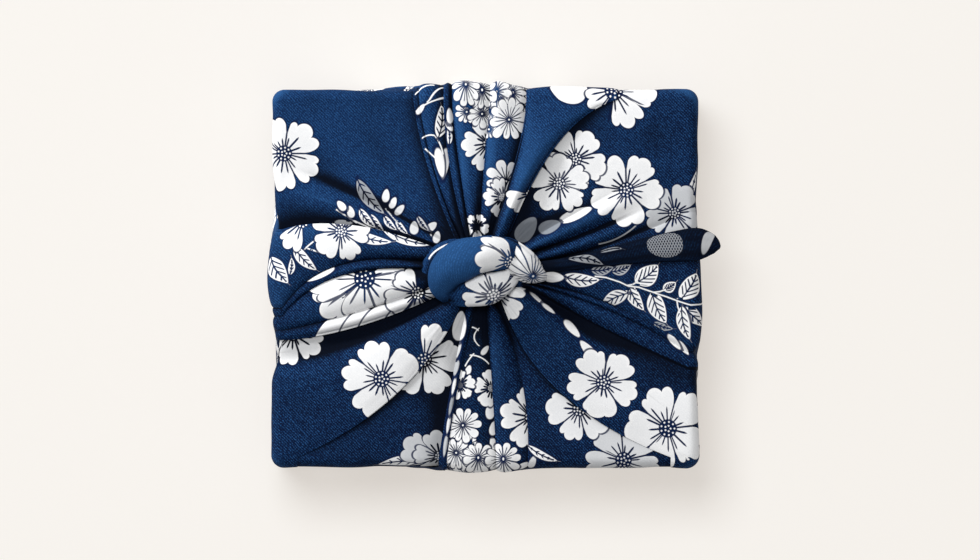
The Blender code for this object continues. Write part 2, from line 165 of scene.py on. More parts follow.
# %% Fold table
Fold = namedtuple(
    "Fold",
    "name side at mid_x mid_y out_x out_y rim mid knot lap rim_lap "
    "c_rim c_mid c_knot round_ lean spread columns layer",
)
FOLDS = [
    Fold("back_left_hollow", "W", 24, -68, 26, -23, 16, -4.5, -1, -1, -2.6, -2.6,
         0.6, 0.3, 0, 1, 0.5, 26, 18, "back_left"),
    Fold("back_left_ridge", "W", 46, -73, 36.5, -21, 18, -1, 2.2, 0.5, 0, 0,
         0, 0, 0, 1, 0.5, 22, 12, "back_left"),
    Fold("back_left_panel", "W", 59, -69, 45, -20, 19.5, 0, -1.6, -1, 0, 0,
         0.4, 0.8, 0.5, 1, 0.5, 18, 84, "back_left"),
    Fold("back_sliver", "N", -36.5, -28.5, 56.5, -17, 21, -0.6, -1, -1.5, 1, 0.8,
         0.6, 1.3, 2, 0.6, 0.5, -58, 8, "back_vine"),
    Fold("back_leaf_pleat", "N", -34, -25.5, 55, -14.5, 21.5, 1, -0.5, -1, 1.2, 1.2,
         1.3, 1.7, 2, 0.6, 0.4, -50, 20, "back_vine"),
    Fold("back_narrow_pleat", "N", -20.5, -17.5, 59, -11.5, 21.5, 1.6, 0.4, -0.6, 1.5, 1.5,
         0.9, 1.6, 1.8, 0.55, 0.5, -30, 12, "back_narrow"),
    Fold("back_middle_pleat", "N", -16.5, -13.5, 64, -9, 22, 1.8, 0.4, -0.6, 1.5, 1.5,
         1.5, 1.9, 2.2, 0.6, 0.35, -20, 24, "back_middle"),
    Fold("back_right_pleat", "N", 3.5, 0.5, 60.5, -3.5, 21.5, 1.9, 0.5, -1, 1.3, 1.2,
         1.5, 2.2, 2.4, 0.6, 0.35, 12, 24, "back_right"),
    Fold("back_roll", "N", 22.5, 16.5, 60, 1.5, 20, -0.6, 0, -1, 1.8, 1.4,
         1.2, 4.2, 6, 0.6, 0.4, 46, 48, "back_roll"),
    Fold("right_back_panel", "N", 68, 35.5, 69, 11.5, 18.5, 0, 0, -2.5, -2.2, -0.7,
         0.5, 0.4, 0, 1, 0.5, 24, 64, "right_back"),
    Fold("upper_right_roll", "E", 67, 52, 37, 14, 16.5, 0, 0, -3, 0, 0,
         -2.5, 2.5, 5.5, 0.8, 0.5, -14, 24, "right_back"),
    Fold("lower_right_roll", "E", 48.5, 62.5, 27.5, 22, 13, 0, -0.6, -2, 0, 0,
         -2.5, 2.3, 5, 0.8, 0.5, -22, 20, "right_back"),
    Fold("right_hollow_fold", "E", 34.5, 66, 18.5, 30, 7.5, -0.8, -1, -2, 0, 0,
         0.4, 2.2, 3, 0.6, 0.5, -24, 20, "right_back"),
    Fold("right_vine_band", "E", 17.5, 70, 10.5, 31, 5.5, -0.5, -0.8, -2, 0.6, 0.6,
         1.4, 2.6, 3.2, 0.6, 0.45, -22, 48, "right_vine"),
    Fold("right_small_fold", "E", -34, 62.5, -12, 31, -2.5, 0.5, 0.2, -1.6, -0.6, -0.6,
         0.3, 1.6, 2.6, 0.6, 0.5, 22, 12, "right_front"),
    Fold("right_front_ridge", "E", -38, 66, -17, 30, -4.5, -2.2, -0.6, -2, -0.8, -0.8,
         1, 2.7, 4, 0.8, 0.4, 28, 22, "right_front"),
    Fold("front_right_valley", "E", -47, 63, -27, 27.5, -6, 0, -0.5, -2.5, 0, 0,
         0, 0, 0, 1, 0.5, 26, 22, "right_front"),
    Fold("front_right_lapel", "E", -76, 60, -40, 23.5, -7.5, 0.5, 2.2, 2.6, 0, 0,
         0.6, 1.4, 2.6, 0.8, 0.45, 10, 56, "right_front"),
    Fold("front_right_underlay", "S", 97, 38.5, -57, 11, -12, 0, -0.3, -2, -2.2, -0.3,
         0.4, 1.3, 2, 0.8, 0.5, -3, 48, "front_under"),
    Fold("front_flower_pleat", "S", 23, 19, -50, 5.5, -15, 0, -0.8, -2, -0.8, -0.8,
         1, 2, 2.4, 0.6, 0.65, -50, 24, "front_flower"),
    Fold("front_wide_pleat", "S", 6.8, 4, -47.5, 2, -15.5, 0.8, 0, -1.5, -1.2, -1.2,
         1.7, 1.2, 1.6, 0.65, 0.5, -20, 30, "front_wide"),
    Fold("front_hem", "S", -20.5, -13.7, -50, -6.5, -14.5, 1, 0.3, -1, 0.9, 0.9,
         0.5, 0.7, 0.7, 0.5, 0.5, 34, 8, "hem"),
    Fold("front_left_underlay", "S", -23, -16, -52.5, -10, -14, -0.6, -0.5, -1.5, -1.6, -1.6,
         0.3, 0.5, 1, 1, 0.5, 38, 46, "front_low"),
    Fold("front_left_lapel", "S", -98, -45, -57.5, -15, -13, 0, -0.3, -2, 2.2, 0.3,
         0.4, 0.8, 2.2, 0.8, 0.4, 3, 48, "front_left"),
    Fold("front_left_crest", "W", -55.5, -59, -37, -20, -12, 0.5, 2.6, 1, 0, 0,
         0, 0, 0, 1, 0.5, -22, 18, "front_left"),
    Fold("front_left_valley", "W", -38.5, -62.5, -29, -22, -10.5, -3.4, -1.5, -2, 0, 0,
         0, 0, 0, 1, 0.5, -30, 10, "front_left"),
    Fold("left_bottom_roll", "W", -31, -66, -24, -24, -9, -4, -1, -2, 2, 1.3,
         0.8, 3, 3, 0.55, 0.5, -30, 16, "left_petals"),
    Fold("left_flower_roll", "W", -26.5, -66, -17, -28, -3, -2.8, 0.8, -0.6, 1.6, 0.6,
         1.2, 4, 3, 0.6, 0.5, -22, 30, "left_flower"),
    Fold("left_thin_roll", "W", -19.5, -73, 2.2, -31.5, 4, -1.6, 1.4, 0, 1.5, 0.4,
         0.6, 2.4, 2.5, 0.55, 0.5, -8, 16, "left_thin"),
    Fold("left_top_roll", "W", -15, -73, 7.8, -31, 8.5, -0.4, 1.2, 0, 0.6, 0.3,
         3, 4, 3.5, 0.6, 0.62, 6, 40, "left_top"),
]
LAYERS = sorted({fold.layer for fold in FOLDS})
print(len(FOLDS), "folds in", len(LAYERS), "layers")

# %% [markdown]
# ## Where a fold lies
#
# A column of the cloth starts under the knot, runs out over the top, turns over the
# rim and goes down the wall. Its rows are worked out at once as arrays. On the top a
# fold line is the curve through its three points. Down the wall it drifts along the
# outline, because the gathers open out below.

# %% Rows and fold lines
KNOT = np.array([-0.5, 3.4])
GATHER = 0.72  # lines run on under the knot to this share of its outline
GATHER_RISE = 9.0  # the gathered cloth lifts this much at the knot
RISE_POWER = 2.2
NECK = 0.45  # and closes to this share under it
NECK_RISE = 11.0
HEEL_KEEP = 0.16  # share of a fold's relief left at the foot of the wall
DRIFT_POWER = 1.3  # how late on its way down a line drifts along the wall
TOP_ROWS, TURN_ROWS, WALL_ROWS, FOOT_ROWS = 84, 8, 36, 4

TOP = np.concatenate([[0.03], np.linspace(0.07, 1.0, TOP_ROWS)])
TURN = np.linspace(0, 1, TURN_ROWS + 1)[1:]
DOWN = np.linspace(0, 1, WALL_ROWS + 1)[1:]
FOOT = np.linspace(0, 1, FOOT_ROWS + 1)[1:]
DRIFT = np.concatenate([0 * TURN, DOWN**DRIFT_POWER, 0 * FOOT + 1])
KEEP = np.concatenate([0 * TURN + 1, 1 - (1 - HEEL_KEEP) * DOWN, 0 * FOOT + HEEL_KEEP])


def through(first, middle, last, share):
    """The curve through three values, at 0, 0.5 and 1."""
    return (
        first * (1 - share) * (1 - 2 * share)
        + middle * 4 * share * (1 - share)
        + last * share * (2 * share - 1)
    )


def smooth(share):
    return share * share * (3 - 2 * share)


def unit(vectors):
    return vectors / np.linalg.norm(vectors, axis=-1, keepdims=True)


def lengths(points, axis=0):
    """How far it is from each point to the next."""
    return np.linalg.norm(np.diff(points, axis=axis), axis=-1)


def start_of(fold):
    return along(fold.side, fold.at)


def line(fold):
    """Plan of a fold line on the top, one point for each row."""
    first = KNOT + (np.array([fold.out_x, fold.out_y]) - KNOT) * GATHER
    last = rim_points(start_of(fold))
    return through(first, np.array([fold.mid_x, fold.mid_y]), last, TOP[:, None])


def down_the_wall(values_on_top):
    """Values for every row: those on the top, then the rim's, fading down the wall."""
    return np.concatenate([values_on_top, KEEP * values_on_top[-1]])


def crease_level(fold):
    rise = GATHER_RISE * (1 - TOP) ** RISE_POWER
    return down_the_wall(rise + through(fold.knot, fold.mid, fold.rim, TOP))


def lap_height(fold):
    return down_the_wall(fold.lap + (fold.rim_lap - fold.lap) * TOP**2)


print(len(TOP) + len(DRIFT) + 2, "rows")

# %% [markdown]
# ## One column of a fold
#
# A column lies a share of the way across its fold. Its level is blended from the two
# creases beside it, and the crown is added as an arch: a low power makes a full
# roll, a high one a shallow swell.

# %% Columns of a fold
Column = namedtuple("Column", "plan places heights shade layer shown")
SHADOW_LEAST = 1.2  # mm over which the crease beside a lapped edge opens out
SHADOW_GROWS = 3.4  # and how much further for each mm of the lap's height
FULL_SHADOW = 1.5  # mm of height from which a lap shades its crease fully
FULLER = 1.3  # the crowns stand fuller than those of the solid
SOFTER = 1.6  # how much a crown that dies away softens on its way to the rim
NEXT = {fold.name: FOLDS[(n + 1) % len(FOLDS)] for n, fold in enumerate(FOLDS)}
BEFORE = {fold.name: FOLDS[n - 1] for n, fold in enumerate(FOLDS)}


def arch(fold, across):
    """The form of a fold's crown, from 0 at its lines to 1 at its crest, row by row.

    A crown that dies away before the rim also grows softer on its way there.
    """
    if across <= fold.lean:
        place = 0.5 * across / fold.lean
    else:
        place = 0.5 + 0.5 * (across - fold.lean) / (1 - fold.lean)
    power = fold.round_ + (SOFTER * TOP if fold.c_rim <= 0 else 0 * TOP)
    return (4 * place * (1 - place)) ** power


def width(fold):
    """Width of a fold, row by row."""
    following = NEXT[fold.name]
    on_top = np.linalg.norm(line(following) - line(fold), axis=1)
    on_wall = (start_of(following) - start_of(fold)) % ROUND
    return np.concatenate([on_top, on_wall + (following.spread - fold.spread) * DRIFT])


def lap_shadow(fold, away):
    """How deep in the crease beside an upper layer's edge a place lies, 1 or less."""
    height = np.abs(lap_height(fold))
    deep = np.minimum(height / FULL_SHADOW, 1.0)
    return deep * np.exp(-away / (SHADOW_LEAST + SHADOW_GROWS * height))


def fold_column(fold, across):
    following = NEXT[fold.name]
    span = (start_of(following) - start_of(fold)) % ROUND
    begin = start_of(fold) + span * across
    drift = fold.spread + (following.spread - fold.spread) * across
    first, last = line(fold), line(following)
    plan = first + (last - first) * across
    off_chord = rim_points(begin) - plan[-1]
    plan = plan + off_chord * TOP[:, None] ** 2

    left = crease_level(fold) + np.maximum(lap_height(fold), 0)
    right = crease_level(following) + np.maximum(-lap_height(following), 0)
    crown = np.maximum(through(fold.c_knot, fold.c_mid, fold.c_rim, TOP), 0)
    heights = left + (right - left) * smooth(across)
    heights = heights + down_the_wall(FULLER * crown * arch(fold, across))
    shade = 0 * heights
    if fold.lap < 0:
        shade = shade + lap_shadow(fold, width(fold) * across)
    if following.lap > 0:
        shade = shade + lap_shadow(following, width(fold) * (1 - across))
    return Column(plan, begin + drift * DRIFT, heights, shade, fold.layer, True)


def shares_across(fold):
    """Columns stand closer together beside the lines, where the roll is steep."""
    steps = np.arange(fold.columns) / fold.columns
    return 0.5 * steps + 0.5 * (1 - np.cos(np.pi * steps)) / 2


crest = fold_column(NEXT["back_right_pleat"], 0.4)
print("the back roll stands", round(float(crest.heights.max()), 1), "mm high")

# %% [markdown]
# ## Lapped edges
#
# Where one layer laps over another, the cloth makes an S: the lower layer slides
# under, turns back, and comes round the rounded edge of the upper one. A plain step
# would look like a scratch, so the S is modelled with its edge standing over the
# layer below, which gives the thin dark line that is seen along every pleat. Offsets
# are squeezed where the folds crowd together at the knot.

# %% Lapped edges
TUCK = 3.2  # how far the lower layer slides under
TUCK_MOST = 0.45  # and at most this share of the upper fold's width
NOSE = 0.5  # how far the edge stands over the layer below, as a share of its height
NOSE_LEAST = 0.3
NOSE_MOST = 0.16  # as a share of the lower fold's width
GAP = 0.15  # air between the layers, as a share of the height
AT_RIM = 6  # power that keeps a change close to the rim

# (in tucks, in noses, in heights) from the lower layer up to the upper one
UNDER = [(0.5, 0.0, 0.0), (1.0, 0.0, 0.0)]
HAIRPIN = [(1.06, 0.0, GAP / 2)]
EDGE_ARC = np.radians(np.linspace(-90, 90, 10))
TURNED_BACK = [(1.0, 0.0, GAP), (0.5, 0.0, GAP)]
EDGE_ROUND = [(0.0, -math.cos(a), GAP + (1 - GAP) * (1 + math.sin(a)) / 2) for a in EDGE_ARC]


def across_line(fold):
    """Unit vectors clockwise across a line, which follow the outline at the rim."""
    along_line = np.gradient(line(fold), axis=0)
    across = unit(np.stack([along_line[:, 1], -along_line[:, 0]], 1))
    out = outline(start_of(fold))[1]
    at_rim = np.array([out[1], -out[0]])
    return unit(across + (at_rim - across) * TOP[:, None] ** AT_RIM)


def lap_columns(fold, steps, shown):
    """Columns of the S at a fold's line, at the steps given."""
    height = np.abs(lap_height(fold))
    over_after = fold.lap > 0
    upper = fold if over_after else BEFORE[fold.name]
    lower = BEFORE[fold.name] if over_after else fold
    tuck = np.minimum(TUCK, TUCK_MOST * width(upper))
    nose = np.minimum(NOSE * height + NOSE_LEAST, NOSE_MOST * width(lower))
    sign = 1 if over_after else -1
    columns = []
    for in_tucks, in_noses, in_heights in steps:
        aside = sign * (in_tucks * tuck + in_noses * nose)
        plan = line(fold) + across_line(fold) * aside[: len(TOP), None]
        places = start_of(fold) + fold.spread * DRIFT + aside[len(TOP):]
        heights = crease_level(fold) + in_heights * height
        layer = upper.layer if shown else None
        shade = lap_shadow(fold, 0 * heights) * (1 - in_heights)
        columns.append(Column(plan, places, heights, shade, layer, shown))
    return columns if over_after else columns[::-1]


def whole_lap(fold):
    """The hidden and the shown part of an S inside a piece."""
    hidden = lap_columns(fold, UNDER + HAIRPIN + TURNED_BACK, False)
    shown = lap_columns(fold, EDGE_ROUND, True)
    return hidden + shown if fold.lap > 0 else shown + hidden


print("edges of", sum(1 for fold in FOLDS if fold.lap), "folds lap over others")

# %% [markdown]
# ## Uneven cloth
#
# Folds that are too clean look like plastic. Two kinds of unevenness are added to
# every height: fine creases that run out from the knot and die away, and broad low
# dents as in any cloth drawn over a box. Both are sums of sines, so the same script
# always gives the same cloth, and the dents fade at the box's upright corners.

# %% Unevenness
RIPPLES = ((43, 0.3, 0.020), (61, 1.9, -0.014), (88, 4.4, 0.009), (117, 2.6, -0.006))
DENTS = ((0.130, 0.071, 0.4), (-0.083, 0.119, 2.2), (0.051, -0.157, 5.1),
         (0.213, 0.040, 1.3), (0.020, 0.243, 3.7), (-0.171, -0.186, 0.9))
RIPPLE_HEIGHT = 0.11
RIPPLE_LAG = 0.05
RIPPLES_FROM, RIPPLES_FADE = 22, 26  # mm from the knot, and over how many mm
DENT_HEIGHT = 0.24
DENTS_FROM, DENTS_GROW = 25, 50
CORNER_CALM = 18  # mm beside an upright corner over which the dents fade


def unevenness(flat, to_corner):
    """Height added at flat places, given how far each is from an upright corner."""
    from_knot = flat - KNOT
    radius = np.linalg.norm(from_knot, axis=-1)
    angle = np.arctan2(from_knot[..., 1], from_knot[..., 0])
    ripple, dent = np.zeros(radius.shape), np.zeros(radius.shape)
    for count, phase, lag in RIPPLES:
        ripple += np.sin(count * angle + phase + lag * count * radius * RIPPLE_LAG)
    for kx, ky, phase in DENTS:
        dent += np.sin(kx * flat[..., 0] + ky * flat[..., 1] + phase)
    near = np.exp(-np.maximum(radius - RIPPLES_FROM, 0) / RIPPLES_FADE)
    far = smooth(np.clip((radius - DENTS_FROM) / DENTS_GROW, 0, 1))
    far = far * smooth(np.clip(to_corner / CORNER_CALM, 0, 1))
    return RIPPLE_HEIGHT * 0.5 * near * ripple + DENT_HEIGHT * 0.5 * far * dent


print("dents of about", DENT_HEIGHT, "mm")

# %% [markdown]
# ## Flat places
#
# The print and the weave need places on the cloth as if its walls were folded up level
# with the top. Then a blossom that crosses the rim isn't stretched. The outline is
# parted into four walls in the middle of its rounded corners.

# %% Flat places
RIMS = ((-HALF_X + EDGE, -1), (HALF_Y - EDGE, 1), (HALF_X - EDGE, 1), (-HALF_Y + EDGE, -1))
MIDDLES = (0.0, NORTH + CORE_X, EAST + CORE_Y, SOUTH + CORE_X)
CORNERS = [start - BEND / 2 for start in (NORTH, EAST, SOUTH, WEST)]
UNDER_REACH = 4  # mm that the cloth runs on under the box
UNDER_LIFT = 0.4
BEYOND = np.concatenate([
    TURN * EDGE * math.pi / 2,
    EDGE * math.pi / 2 + WALL * DOWN,
    EDGE * math.pi / 2 + WALL + FOOT * HEEL * math.pi / 2,
    [EDGE * math.pi / 2 + WALL + HEEL * math.pi / 2 + UNDER_REACH],
])


def wall_of(places):
    """Number of the wall that places belong to: left, back, right, front."""
    return np.searchsorted(CORNERS, places % ROUND, side="right") % 4


def unfolded(wall, places, beyond):
    """Flat places on the cloth of one wall, folded up level with the top."""
    edge, sign = RIMS[wall]
    sideways = (places - MIDDLES[wall] + ROUND / 2) % ROUND - ROUND / 2
    out = np.broadcast_to(edge + sign * beyond, sideways.shape)
    pairs = ((out, sideways), (sideways, out), (out, -sideways), (-sideways, out))
    return np.stack(pairs[wall], -1)


def corner_distance(places):
    return np.min([np.abs(places % ROUND - corner) for corner in CORNERS], axis=0)


print("walls run", round(float(BEYOND[-2])), "mm beyond the rim")

# %% [markdown]
# ## From columns to a sheet
#
# The columns of a piece are set side by side, and their rows become points: under the
# knot, over the top, round the rim, down the wall, and a little way under the box.

# %% Points of a piece
def lay(columns):
    """(points, plan on the top, places past the rim) of a piece, rows by columns."""
    plan = np.stack([c.plan for c in columns], 1)
    places = np.stack([c.places for c in columns], 1)
    heights = np.stack([c.heights for c in columns], 1)
    from_corner = np.linalg.norm(np.abs(plan) - [HALF_X, HALF_Y], axis=-1)
    heights[: len(TOP)] += unevenness(plan, from_corner)
    wall = wall_of(places)
    flat = np.zeros(places.shape + (2,))
    for number in range(4):
        here = unfolded(number, places, BEYOND[:-1, None])
        flat[wall == number] = here[wall == number]
    heights[len(TOP):] += unevenness(flat, corner_distance(places))

    neck = KNOT + (plan[:1] - KNOT) * NECK
    neck = np.concatenate([neck, np.full(neck.shape[:2] + (1,), HEIGHT + NECK_RISE)], 2)
    top = np.concatenate([plan, HEIGHT + heights[: len(TOP), :, None]], 2)

    core, out = outline(places)
    rest = heights[len(TOP):]
    turn, foot = len(TURN), len(FOOT)
    reach, z = np.zeros(rest.shape), np.zeros(rest.shape)
    angle = (TURN * math.pi / 2)[:, None]
    reach[:turn] = (EDGE + rest[:turn]) * np.sin(angle) + CORNER - EDGE
    z[:turn] = HEIGHT - EDGE + (EDGE + rest[:turn]) * np.cos(angle)
    reach[turn:-foot] = CORNER + rest[turn:-foot]
    z[turn:-foot] = HEIGHT - EDGE - WALL * DOWN[:, None]
    angle = (FOOT * math.pi / 2)[:, None]
    reach[-foot:] = CORNER + rest[-foot:] - HEEL * (1 - np.cos(angle))
    z[-foot:] = HEEL * (1 - np.sin(angle))
    walls = np.concatenate([core + out * reach[..., None], z[..., None]], 2)
    under = np.concatenate(
        [core[-1:] + out[-1:] * (reach[-1:, :, None] - UNDER_REACH),
         z[-1:, :, None] + UNDER_LIFT], 2
    )
    last = np.concatenate([places, places[-1:]])
    return np.concatenate([neck, top, walls, under]), plan, last


print("each column has", 2 + len(TOP) + len(DRIFT), "points")

# %% [markdown]
# ## Hollows
#
# Little light reaches a crease, and a crest catches more, so creases get painted shade
# and crests a painted highlight. Each point is compared with the places to its left and
# right on the same row, near and far. Where they lie above it, the cloth is hollow. The
# painted shadow beside lapped edges is added.

# %% Hollows
HOLLOW_SIZES = ((1.6, 0.25), (4.5, 0.7), (11.0, 1.1), (20.0, 0.3))  # mm aside, and weight
CREASES_COUNT, CRESTS_COUNT, LAPS_COUNT = 3.0, 0.9, 1.2


def hollows(points, columns):
    """How hollow each place is, from -1 on a crest to 1 deep in a crease."""
    along_rows = np.gradient(points, axis=0)
    along_columns = np.gradient(points, axis=1)
    normal = np.cross(along_columns, along_rows)
    normal /= np.maximum(np.linalg.norm(normal, axis=2, keepdims=True), 1e-9)
    places = np.arange(points.shape[1])
    axes = range(3)
    found = np.zeros(points.shape[:2])
    for size, weight in HOLLOW_SIZES:
        for row in range(points.shape[0]):
            reach = max(size / max(np.median(lengths(points[row])), 0.02), 1)
            ends = (places - reach, places + reach)
            left, right = [
                np.stack([np.interp(end, places, points[row, :, a]) for a in axes], 1)
                for end in ends
            ]
            between = (left + right) / 2 - points[row]
            found[row] += weight * (between * normal[row]).sum(1) / size
    shade = np.stack([c.shade for c in columns], 1)
    shade = np.concatenate([shade[:1], shade, shade[-1:]])
    return np.where(found > 0, CREASES_COUNT, CRESTS_COUNT) * found + LAPS_COUNT * shade


print("hollows are looked for up to", HOLLOW_SIZES[-1][0], "mm aside")

# %% [markdown]
# ## Laying a sheet
#
# A sheet starts as a plain grid from bmesh. Its points are then laid on the rows
# worked out above, which is quicker and surer than a simulation here, because the
# picture says where each fold lies. The cloth's flat places go into a UV map, in
# metres, and each face remembers which layer it belongs to.

# %% Sheet maker
CLOTH_MAP = "cloth"
PER_METRE = 1000.0
pieces = []
hollow_places = {}  # of each piece: its points, and how hollow each is
Printed = namedtuple("Printed", "piece middles layers")
printed = []


def laid_grid(name, points, flat_of_loops):
    """A sheet of rows by columns of points in mm. flat_of_loops gives the UV map."""
    rows, columns = points.shape[:2]
    grid = bmesh.new()
    bmesh.ops.create_grid(grid, x_segments=columns - 1, y_segments=rows - 1, size=1)
    data = bpy.data.meshes.new(name)
    grid.to_mesh(data)
    grid.free()
    data.vertices.foreach_set("co", (points * MM).astype(np.float32).ravel())
    corners = np.zeros(len(data.loops), np.int32)
    data.loops.foreach_get("vertex_index", corners)
    corners = corners.reshape(-1, 4)
    flat = flat_of_loops(corners)
    uv_map = data.uv_layers.new(name=CLOTH_MAP)
    uv_map.data.foreach_set("uv", (flat * MM).astype(np.float32).ravel())
    data.polygons.foreach_set("use_smooth", np.ones(len(data.polygons), bool))
    data.update()
    piece = bpy.data.objects.new(name, data)
    bpy.context.scene.collection.objects.link(piece)
    pieces.append(piece)
    return piece, flat.mean(axis=1)


def one_layer(name, points, flat, hollow):
    """A sheet that is a layer of its own, with its flat places in a list."""
    piece, middles = laid_grid(name, points, lambda c: flat[c])
    hollow_places[name] = (points.reshape(-1, 3), hollow.ravel())
    LAYERS.append(name)
    printed.append(Printed(piece, middles, np.full(len(middles), len(LAYERS) - 1)))
    return piece


def area_of(piece):
    return sum(face.area for face in piece.data.polygons)


print("sheets keep their flat places in the UV map", CLOTH_MAP)

# %% [markdown]
# ## The gathered sides
#
# The wrap is split where layers lap, seven pieces in all, so that none is too heavy.
# Every joint lies hidden in a hairpin under an upper layer. A piece takes the columns
# of its folds, the laps between them, and its own side of the lap at either end.

# %% Columns of a piece
NAMES = [fold.name for fold in FOLDS]


def first_columns(fold):
    """A piece's own side of the lap at which it starts."""
    if fold.lap < 0:
        return lap_columns(fold, UNDER, False)
    return lap_columns(fold, TURNED_BACK, False) + lap_columns(fold, EDGE_ROUND[:-1], True)


def last_columns(fold):
    """A piece's own side of the lap at which it ends."""
    if fold.lap > 0:
        return lap_columns(fold, UNDER, False)
    return lap_columns(fold, EDGE_ROUND, True) + lap_columns(fold, TURNED_BACK, False)


def piece_columns(first, last):
    start, end = NAMES.index(first), NAMES.index(last)
    folds = FOLDS[start:end] if start < end else FOLDS[start:] + FOLDS[:end]
    columns = first_columns(folds[0])
    for number, fold in enumerate(folds):
        if number and fold.lap:
            whole = whole_lap(fold)
            columns += whole[:-1] if fold.lap > 0 else whole
        shares = shares_across(fold)
        if fold.lap < 0:
            shares = shares[1:]
        columns += [fold_column(fold, share) for share in shares]
    closing = NEXT[folds[-1].name]
    if closing.lap > 0:
        columns.append(fold_column(folds[-1], 1.0))
    return columns + last_columns(closing)


print("a lap is", len(UNDER + HAIRPIN + TURNED_BACK + EDGE_ROUND), "columns")

# %% [markdown]
# ## Seven pieces
#
# The table names the fold at which each piece starts, and it runs on to the start of
# the next one. Each face takes its flat places from the wall that its middle lies on,
# so that no face is torn at a corner, and the hidden faces of a lap bear no print.

# %% Gathered pieces
STARTS = {
    "cloth_back_left": "back_left_hollow",
    "cloth_back_gathers": "back_sliver",
    "cloth_back_right": "right_back_panel",
    "cloth_right": "right_vine_band",
    "cloth_front_gathers": "front_right_underlay",
    "cloth_front_left": "front_left_lapel",
    "cloth_left_band": "left_bottom_roll",
}
DARKER = {"cloth_left_band": 0.16, "cloth_front_gathers": 0.08}  # painted shade added to the hollows of pieces whose rolls lie close


def gathered_piece(name, first, last):
    columns = piece_columns(first, last)
    points, plan, places = lay(columns)
    rows, count = points.shape[:2]
    on_top = 1 + len(TOP)
    above = np.concatenate([plan[:1], plan])
    candidates = [
        np.concatenate([above, unfolded(wall, places, BEYOND[:, None])])
        for wall in range(4)
    ]
    candidates = np.stack(candidates).reshape(4, -1, 2)
    all_places = np.concatenate([np.repeat(places[:1], on_top, 0), places])
    middle_places = (all_places[1:, 1:] + all_places[:-1, :-1]) / 2
    walls = wall_of(middle_places).ravel()
    piece, middles = laid_grid(name, points, lambda c: candidates[walls[:, None], c])
    hollow = hollows(points, columns).ravel() + DARKER.get(name, 0.0)
    hollow_places[name] = (points.reshape(-1, 3), hollow)
    shown = [a.layer if a.shown and b.shown else None for a, b in zip(columns, columns[1:])]
    layers = np.array([LAYERS.index(s) if s else -1 for s in shown])
    printed.append(Printed(piece, middles, np.tile(layers, rows - 1)))
    size = area_of(piece)
    across = lengths(points[on_top + len(TURN)]).sum() * MM
    down = (HALF_Y + BEYOND[-1]) * MM
    print(name, count, "columns,", round(across, 3), "x", round(down, 3), "m")
    return piece, across, down, size


sheets = []
start_names = list(STARTS.values())
for number, (name, first) in enumerate(STARTS.items()):
    sheets.append(gathered_piece(name, first, start_names[(number + 1) % len(start_names)]))

# %% [markdown]
# ## The underside
#
# The middle of the cloth lies flat under the box, where nothing gathers it. It is a
# grid pulled into the rounded outline, with its rim tucked inside the turned-in foot
# of the walls.

# %% Underside
UNDER_CELLS = 56
UNDER_AT = 1000.0  # mm from the gathered pieces in the UV map
HUMP, HUMP_LONG, HUMP_WIDE = 0.12, 13, 17  # low swells, in mm
SWELLS_FROM_RIM = 6
FOOT_X, FOOT_Y, FOOT_CORNER = HALF_X - HEEL, HALF_Y - HEEL, CORNER - HEEL


def rounded(points):
    """Square places pulled into a rectangle with rounded corners."""
    x, y = points[..., 0] * FOOT_X, points[..., 1] * FOOT_Y
    past_x = np.maximum(np.abs(x) - (FOOT_X - FOOT_CORNER), 0)
    past_y = np.maximum(np.abs(y) - (FOOT_Y - FOOT_CORNER), 0)
    length = np.hypot(past_x, past_y)
    most = np.maximum(np.maximum(past_x, past_y), 1e-9)
    keep = np.where(length > 0, most / np.maximum(length, 1e-9), 1)
    x = np.sign(x) * (np.abs(x) - past_x * (1 - keep))
    y = np.sign(y) * (np.abs(y) - past_y * (1 - keep))
    return np.stack([x, y], -1)


steps = np.linspace(-1, 1, UNDER_CELLS + 1)
square = np.stack(np.meshgrid(steps, -steps), -1)
place = rounded(square)
ease = np.clip((1 - np.abs(square).max(-1)) * SWELLS_FROM_RIM, 0, 1)
swell = np.sin(place[..., 0] / HUMP_LONG) * np.sin(place[..., 1] / HUMP_WIDE + 1)
hump = HUMP * (1 + swell) * ease
points = np.concatenate([place, hump[..., None]], 2)
under_flat = place.reshape(-1, 2) + [UNDER_AT, 0.0]
base = one_layer("cloth_underside", points, under_flat, 0 * hump)
sheets.append((base, 2 * FOOT_X * MM, 2 * FOOT_Y * MM, area_of(base)))
print("the underside is", round(2 * FOOT_X), "x", round(2 * FOOT_Y), "mm")

# %% [markdown]
# ## The knot and the free end
#
# A knot is hard to simulate and easy to read: a few gathered straps that pass over
# and under one another. Each strap is a tube swept along a smooth path through oval
# sections, and creases along it make it a bundle of cloth and not a pipe.

# %% Strap maker
Strap = namedtuple("Strap", "sections creases depth twist dark", defaults=(0.0,))
STRAP_CELL = 0.75  # mm along a strap
CELL_LONGER = 1.4  # how much longer a cell is round a strap
CREASE_POWER = 0.6  # below 1 for narrow creases between full rolls
CREASE_MIDDLE = 0.6  # level of the wave at which a strap keeps its width
CRESTS_PALE = 0.35  # how much less hollow the crests count, which gives the straps a painted highlight
STRAPS_AT, STRAPS_APART = 2000.0, 500.0  # mm from the gathered pieces in the UV map


def catmull(values, at):
    """A smooth curve through rows of values, at places counted in rows."""
    last = len(values) - 1
    whole = np.minimum(at.astype(int), last - 1)
    t = (at - whole)[:, None]
    a, b = values[np.maximum(whole - 1, 0)], values[whole]
    c, d = values[whole + 1], values[np.minimum(whole + 2, last)]
    return 0.5 * (
        2 * b + (c - a) * t + (2 * a - 5 * b + 4 * c - d) * t**2
        + (3 * b - a - 3 * c + d) * t**3
    )


